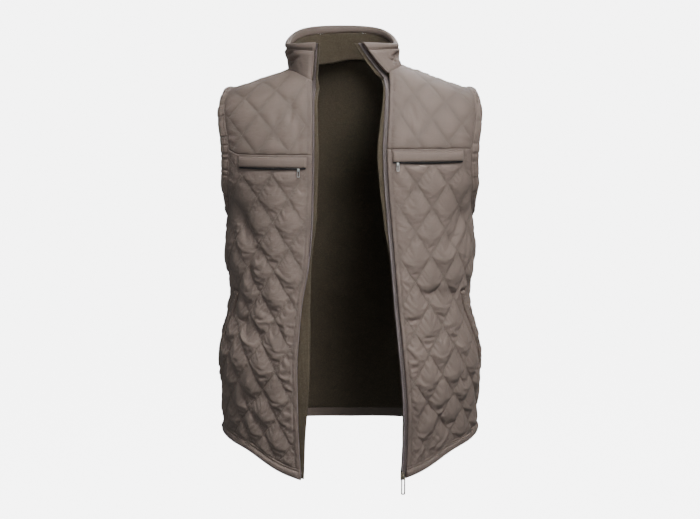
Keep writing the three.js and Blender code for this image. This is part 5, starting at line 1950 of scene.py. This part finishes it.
@dataclass
class SideWelt:
    """A slanted pocket welt, shirred across its length."""

    side: Side
    ribs: int = 34
    cut: tuple[float, float] = (0.017, 0.19)
    # Half of the welt's section: how far from its middle line, and how high it stands there
    half_section: tuple[float, ...] = (0, 2.2, 4.0, 5.2, 6.2, 7.1, 7.5)
    half_stands: tuple[float, ...] = (3.4, 3.3, 2.9, 2.1, 2.7, 1.9, 0.5)

    def build(self, sewing: Sewing) -> None:
        """Makes the welt with its ribs and two rows of stitches."""
        sheet, word = SHEETS[self.side], self.side.word
        soft = SoftNoise(41 + self.side.value)
        half, stands = self.half_section[::-1], self.half_stands[::-1]
        across = np.array([-place for place in half[:-1]] + list(self.half_section))
        crown = np.array(list(stands[:-1]) + list(self.half_stands))
        share = np.linspace(0, 1, self.ribs * 10)
        middle, height = sheet.side_welt_line(share)
        arc = middle[:, None] + across
        tall = np.broadcast_to(height[:, None], arc.shape)
        phase = share[:, None] * self.ribs + 0.35 * soft.at(share[:, None] * 30, across / 9)
        rib = (0.5 + 0.5 * np.cos(phase * math.tau)) ** 0.7
        deep = 0.7 + 0.4 * soft.at(share[:, None] * 12, 4.5)
        bow = np.clip(1 - (np.abs(across) / 7.5) ** 3, 0, 1)
        ends = np.clip(np.minimum(share, 1 - share) * 60, 0.25, 1)[:, None]
        lift = WELT_EDGE + (crown + WELT_BODY + (rib - 0.6) * 1.5 * deep * bow) * ends
        points, normals = sheet.drape(arc, tall)
        face, under = lifted(points, normals, lift), points + normals * WELT_UNDER
        piece = make_strip(f"side_welt_{word}_cloth", face, under)
        # Painted shade between the ribs.
        dip = np.clip(0.9 - rib * 1.3, 0, 1) * bow
        keep_dip(piece, dip)
        dress(piece, BINDING, "binding", f"side_welt_{word}")
        for column in (3, 9):
            sewing.add(face[4:-4, column], normals[4:-4, column])


# Studio

VEST_MIDDLE = (0.0, 0.0, -0.342)


@dataclass(frozen=True)
class Lamp:
    """A square soft light, with its width in metres, power in watts and beam in degrees."""

    name: str
    place: tuple[float, float, float]
    aim: tuple[float, float, float]
    size: float
    power: float
    spread: float = 180.0

    def hang(self) -> None:
        """Makes the light and turns it to its aim."""
        light = bpy.data.lights.new(self.name, "AREA")
        light.size = self.size
        light.energy = self.power
        light.spread = math.radians(self.spread)
        lamp = bpy.data.objects.new(self.name, light)
        lamp.location = self.place
        lamp.rotation_euler = (Vector(self.aim) - Vector(self.place)).to_track_quat("-Z", "Y").to_euler()
        bpy.context.scene.collection.objects.link(lamp)


LAMPS = (
    Lamp("key", (0.5, -0.95, 1.0), (0.035, -0.15, -0.18), 0.7, 2.65, 38),
    Lamp("fill", (0.6, -1.9, 0.3), (0.05, -0.15, -0.22), 1.0, 0.6, 60),
    Lamp("side", (-1.5, -1.5, 0.8), VEST_MIDDLE, 0.8, 6),
    Lamp("rear", (0.5, 1.8, 1.4), VEST_MIDDLE, 1.0, 34),
)


@dataclass
class Studio:
    """The pale floor, the soft lights and the camera at the photograph's angle."""

    distance: float = 2.2
    elevation: float = 8.5
    target: tuple[float, float, float] = VEST_MIDDLE
    lens: float = 62.85
    floor_z: float = -1.25

    def build(self) -> None:
        """Makes the floor, the world, the lights and the camera."""
        self._make_floor()
        self._make_world()
        for lamp in LAMPS:
            lamp.hang()
        self._make_camera()

    def _make_floor(self) -> None:
        """A round floor that curves up into a white dome and lights nothing."""
        angles = np.linspace(0, math.pi / 2, 13)
        reach, bend, wall = 4.0, 2.0, 3.0
        dome = reach + bend
        sines, cosines = np.sin(angles[1:]), np.cos(angles[1:])
        radius = np.concatenate([[0.02, reach], reach + bend * sines, dome * cosines])
        rise = np.concatenate([[0, 0], bend * (1 - cosines), bend + wall + dome * sines])
        turn = np.arange(48) / 48 * math.tau
        x, y = radius[:, None] * np.cos(turn), radius[:, None] * np.sin(turn)
        z = np.broadcast_to(rise[:, None] + self.floor_z, x.shape)
        points = np.stack([x, y, z], axis=-1).reshape(-1, 3) / MM
        index = np.arange(x.size).reshape(x.shape)
        around = np.roll(index, -1, axis=1)
        faces = np.stack([index[:-1], around[:-1], around[1:], index[1:]], axis=-1).reshape(-1, 4)
        floor = make_piece("studio_floor", points, faces)
        tree = FinishTree("pale_floor")
        grain = tree.noise(tree.object_place(), 3, 2)
        tree.feed(Base_Color=tree.mix(grain, (0.84, 0.84, 0.84, 1), (0.88, 0.88, 0.88, 1)), Roughness=0.9)
        tree.feed(Emission_Color=(1, 1, 1, 1), Emission_Strength=6.0)
        floor.data.materials.append(tree.material)
        floor.visible_diffuse = False
        floor.visible_glossy = False
        floor.visible_shadow = False

    def _make_world(self) -> None:
        """Soft light from all round, a little cool."""
        world = bpy.data.worlds.new("soft_studio")
        world.use_nodes = True
        sky = world.node_tree.nodes["Background"]
        sky.inputs["Color"].default_value = (0.88, 0.94, 1, 1)
        sky.inputs["Strength"].default_value = 0.15
        bpy.context.scene.world = world

    def _make_camera(self) -> None:
        """The camera, a little above the vest's middle."""
        data = bpy.data.cameras.new("front_view")
        data.lens = self.lens
        camera = bpy.data.objects.new("front_view", data)
        tilt = math.radians(self.elevation)
        x, y, z = self.target
        camera.location = (x, y - self.distance * math.cos(tilt), z + self.distance * math.sin(tilt))
        camera.rotation_euler = (math.pi / 2 - tilt, 0, 0)
        bpy.context.scene.collection.objects.link(camera)
        bpy.context.scene.camera = camera


def dress_metal() -> None:
    """Gives the sliders and pulls of the frame their plated finishes."""
    for name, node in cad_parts.items():
        if name.endswith(("_slider", "_pull")):
            finish = NICKEL if name.startswith("main") else SILVER
            node.data.materials.clear()
            node.data.materials.append(finish.material())


def main() -> None:
    """Builds the vest piece by piece."""
    logging.basicConfig(level=logging.INFO, format="%(name)s: %(message)s")
    for obj in bpy.context.selected_objects:
        obj.select_set(False)
    Studio().build()
    make_panels()
    stitch, tooth = model_stitch(2.5, 0.6), model_coil_turn()
    collar = StandCollar()
    sewing = Sewing("stitches_trim", 3.2)
    for side in (Side.RIGHT, Side.LEFT):
        ArmholeBinding(side, 51 + side.value).build(sewing)
        shows = (3.6, 3.0, 0.8) if side is Side.RIGHT else (6.5, 8.5, 3.6)
        FrontEdge(side, collar, *shows).build(sewing, tooth)
        ChestPocket(side).build(sewing, tooth)
        SideWelt(side).build(sewing)
    HemBand().build(sewing)
    collar.build(sewing)
    sewing.make(stitch, THREAD, "binding")
    dress_metal()


if __name__ == "__main__":
    main()
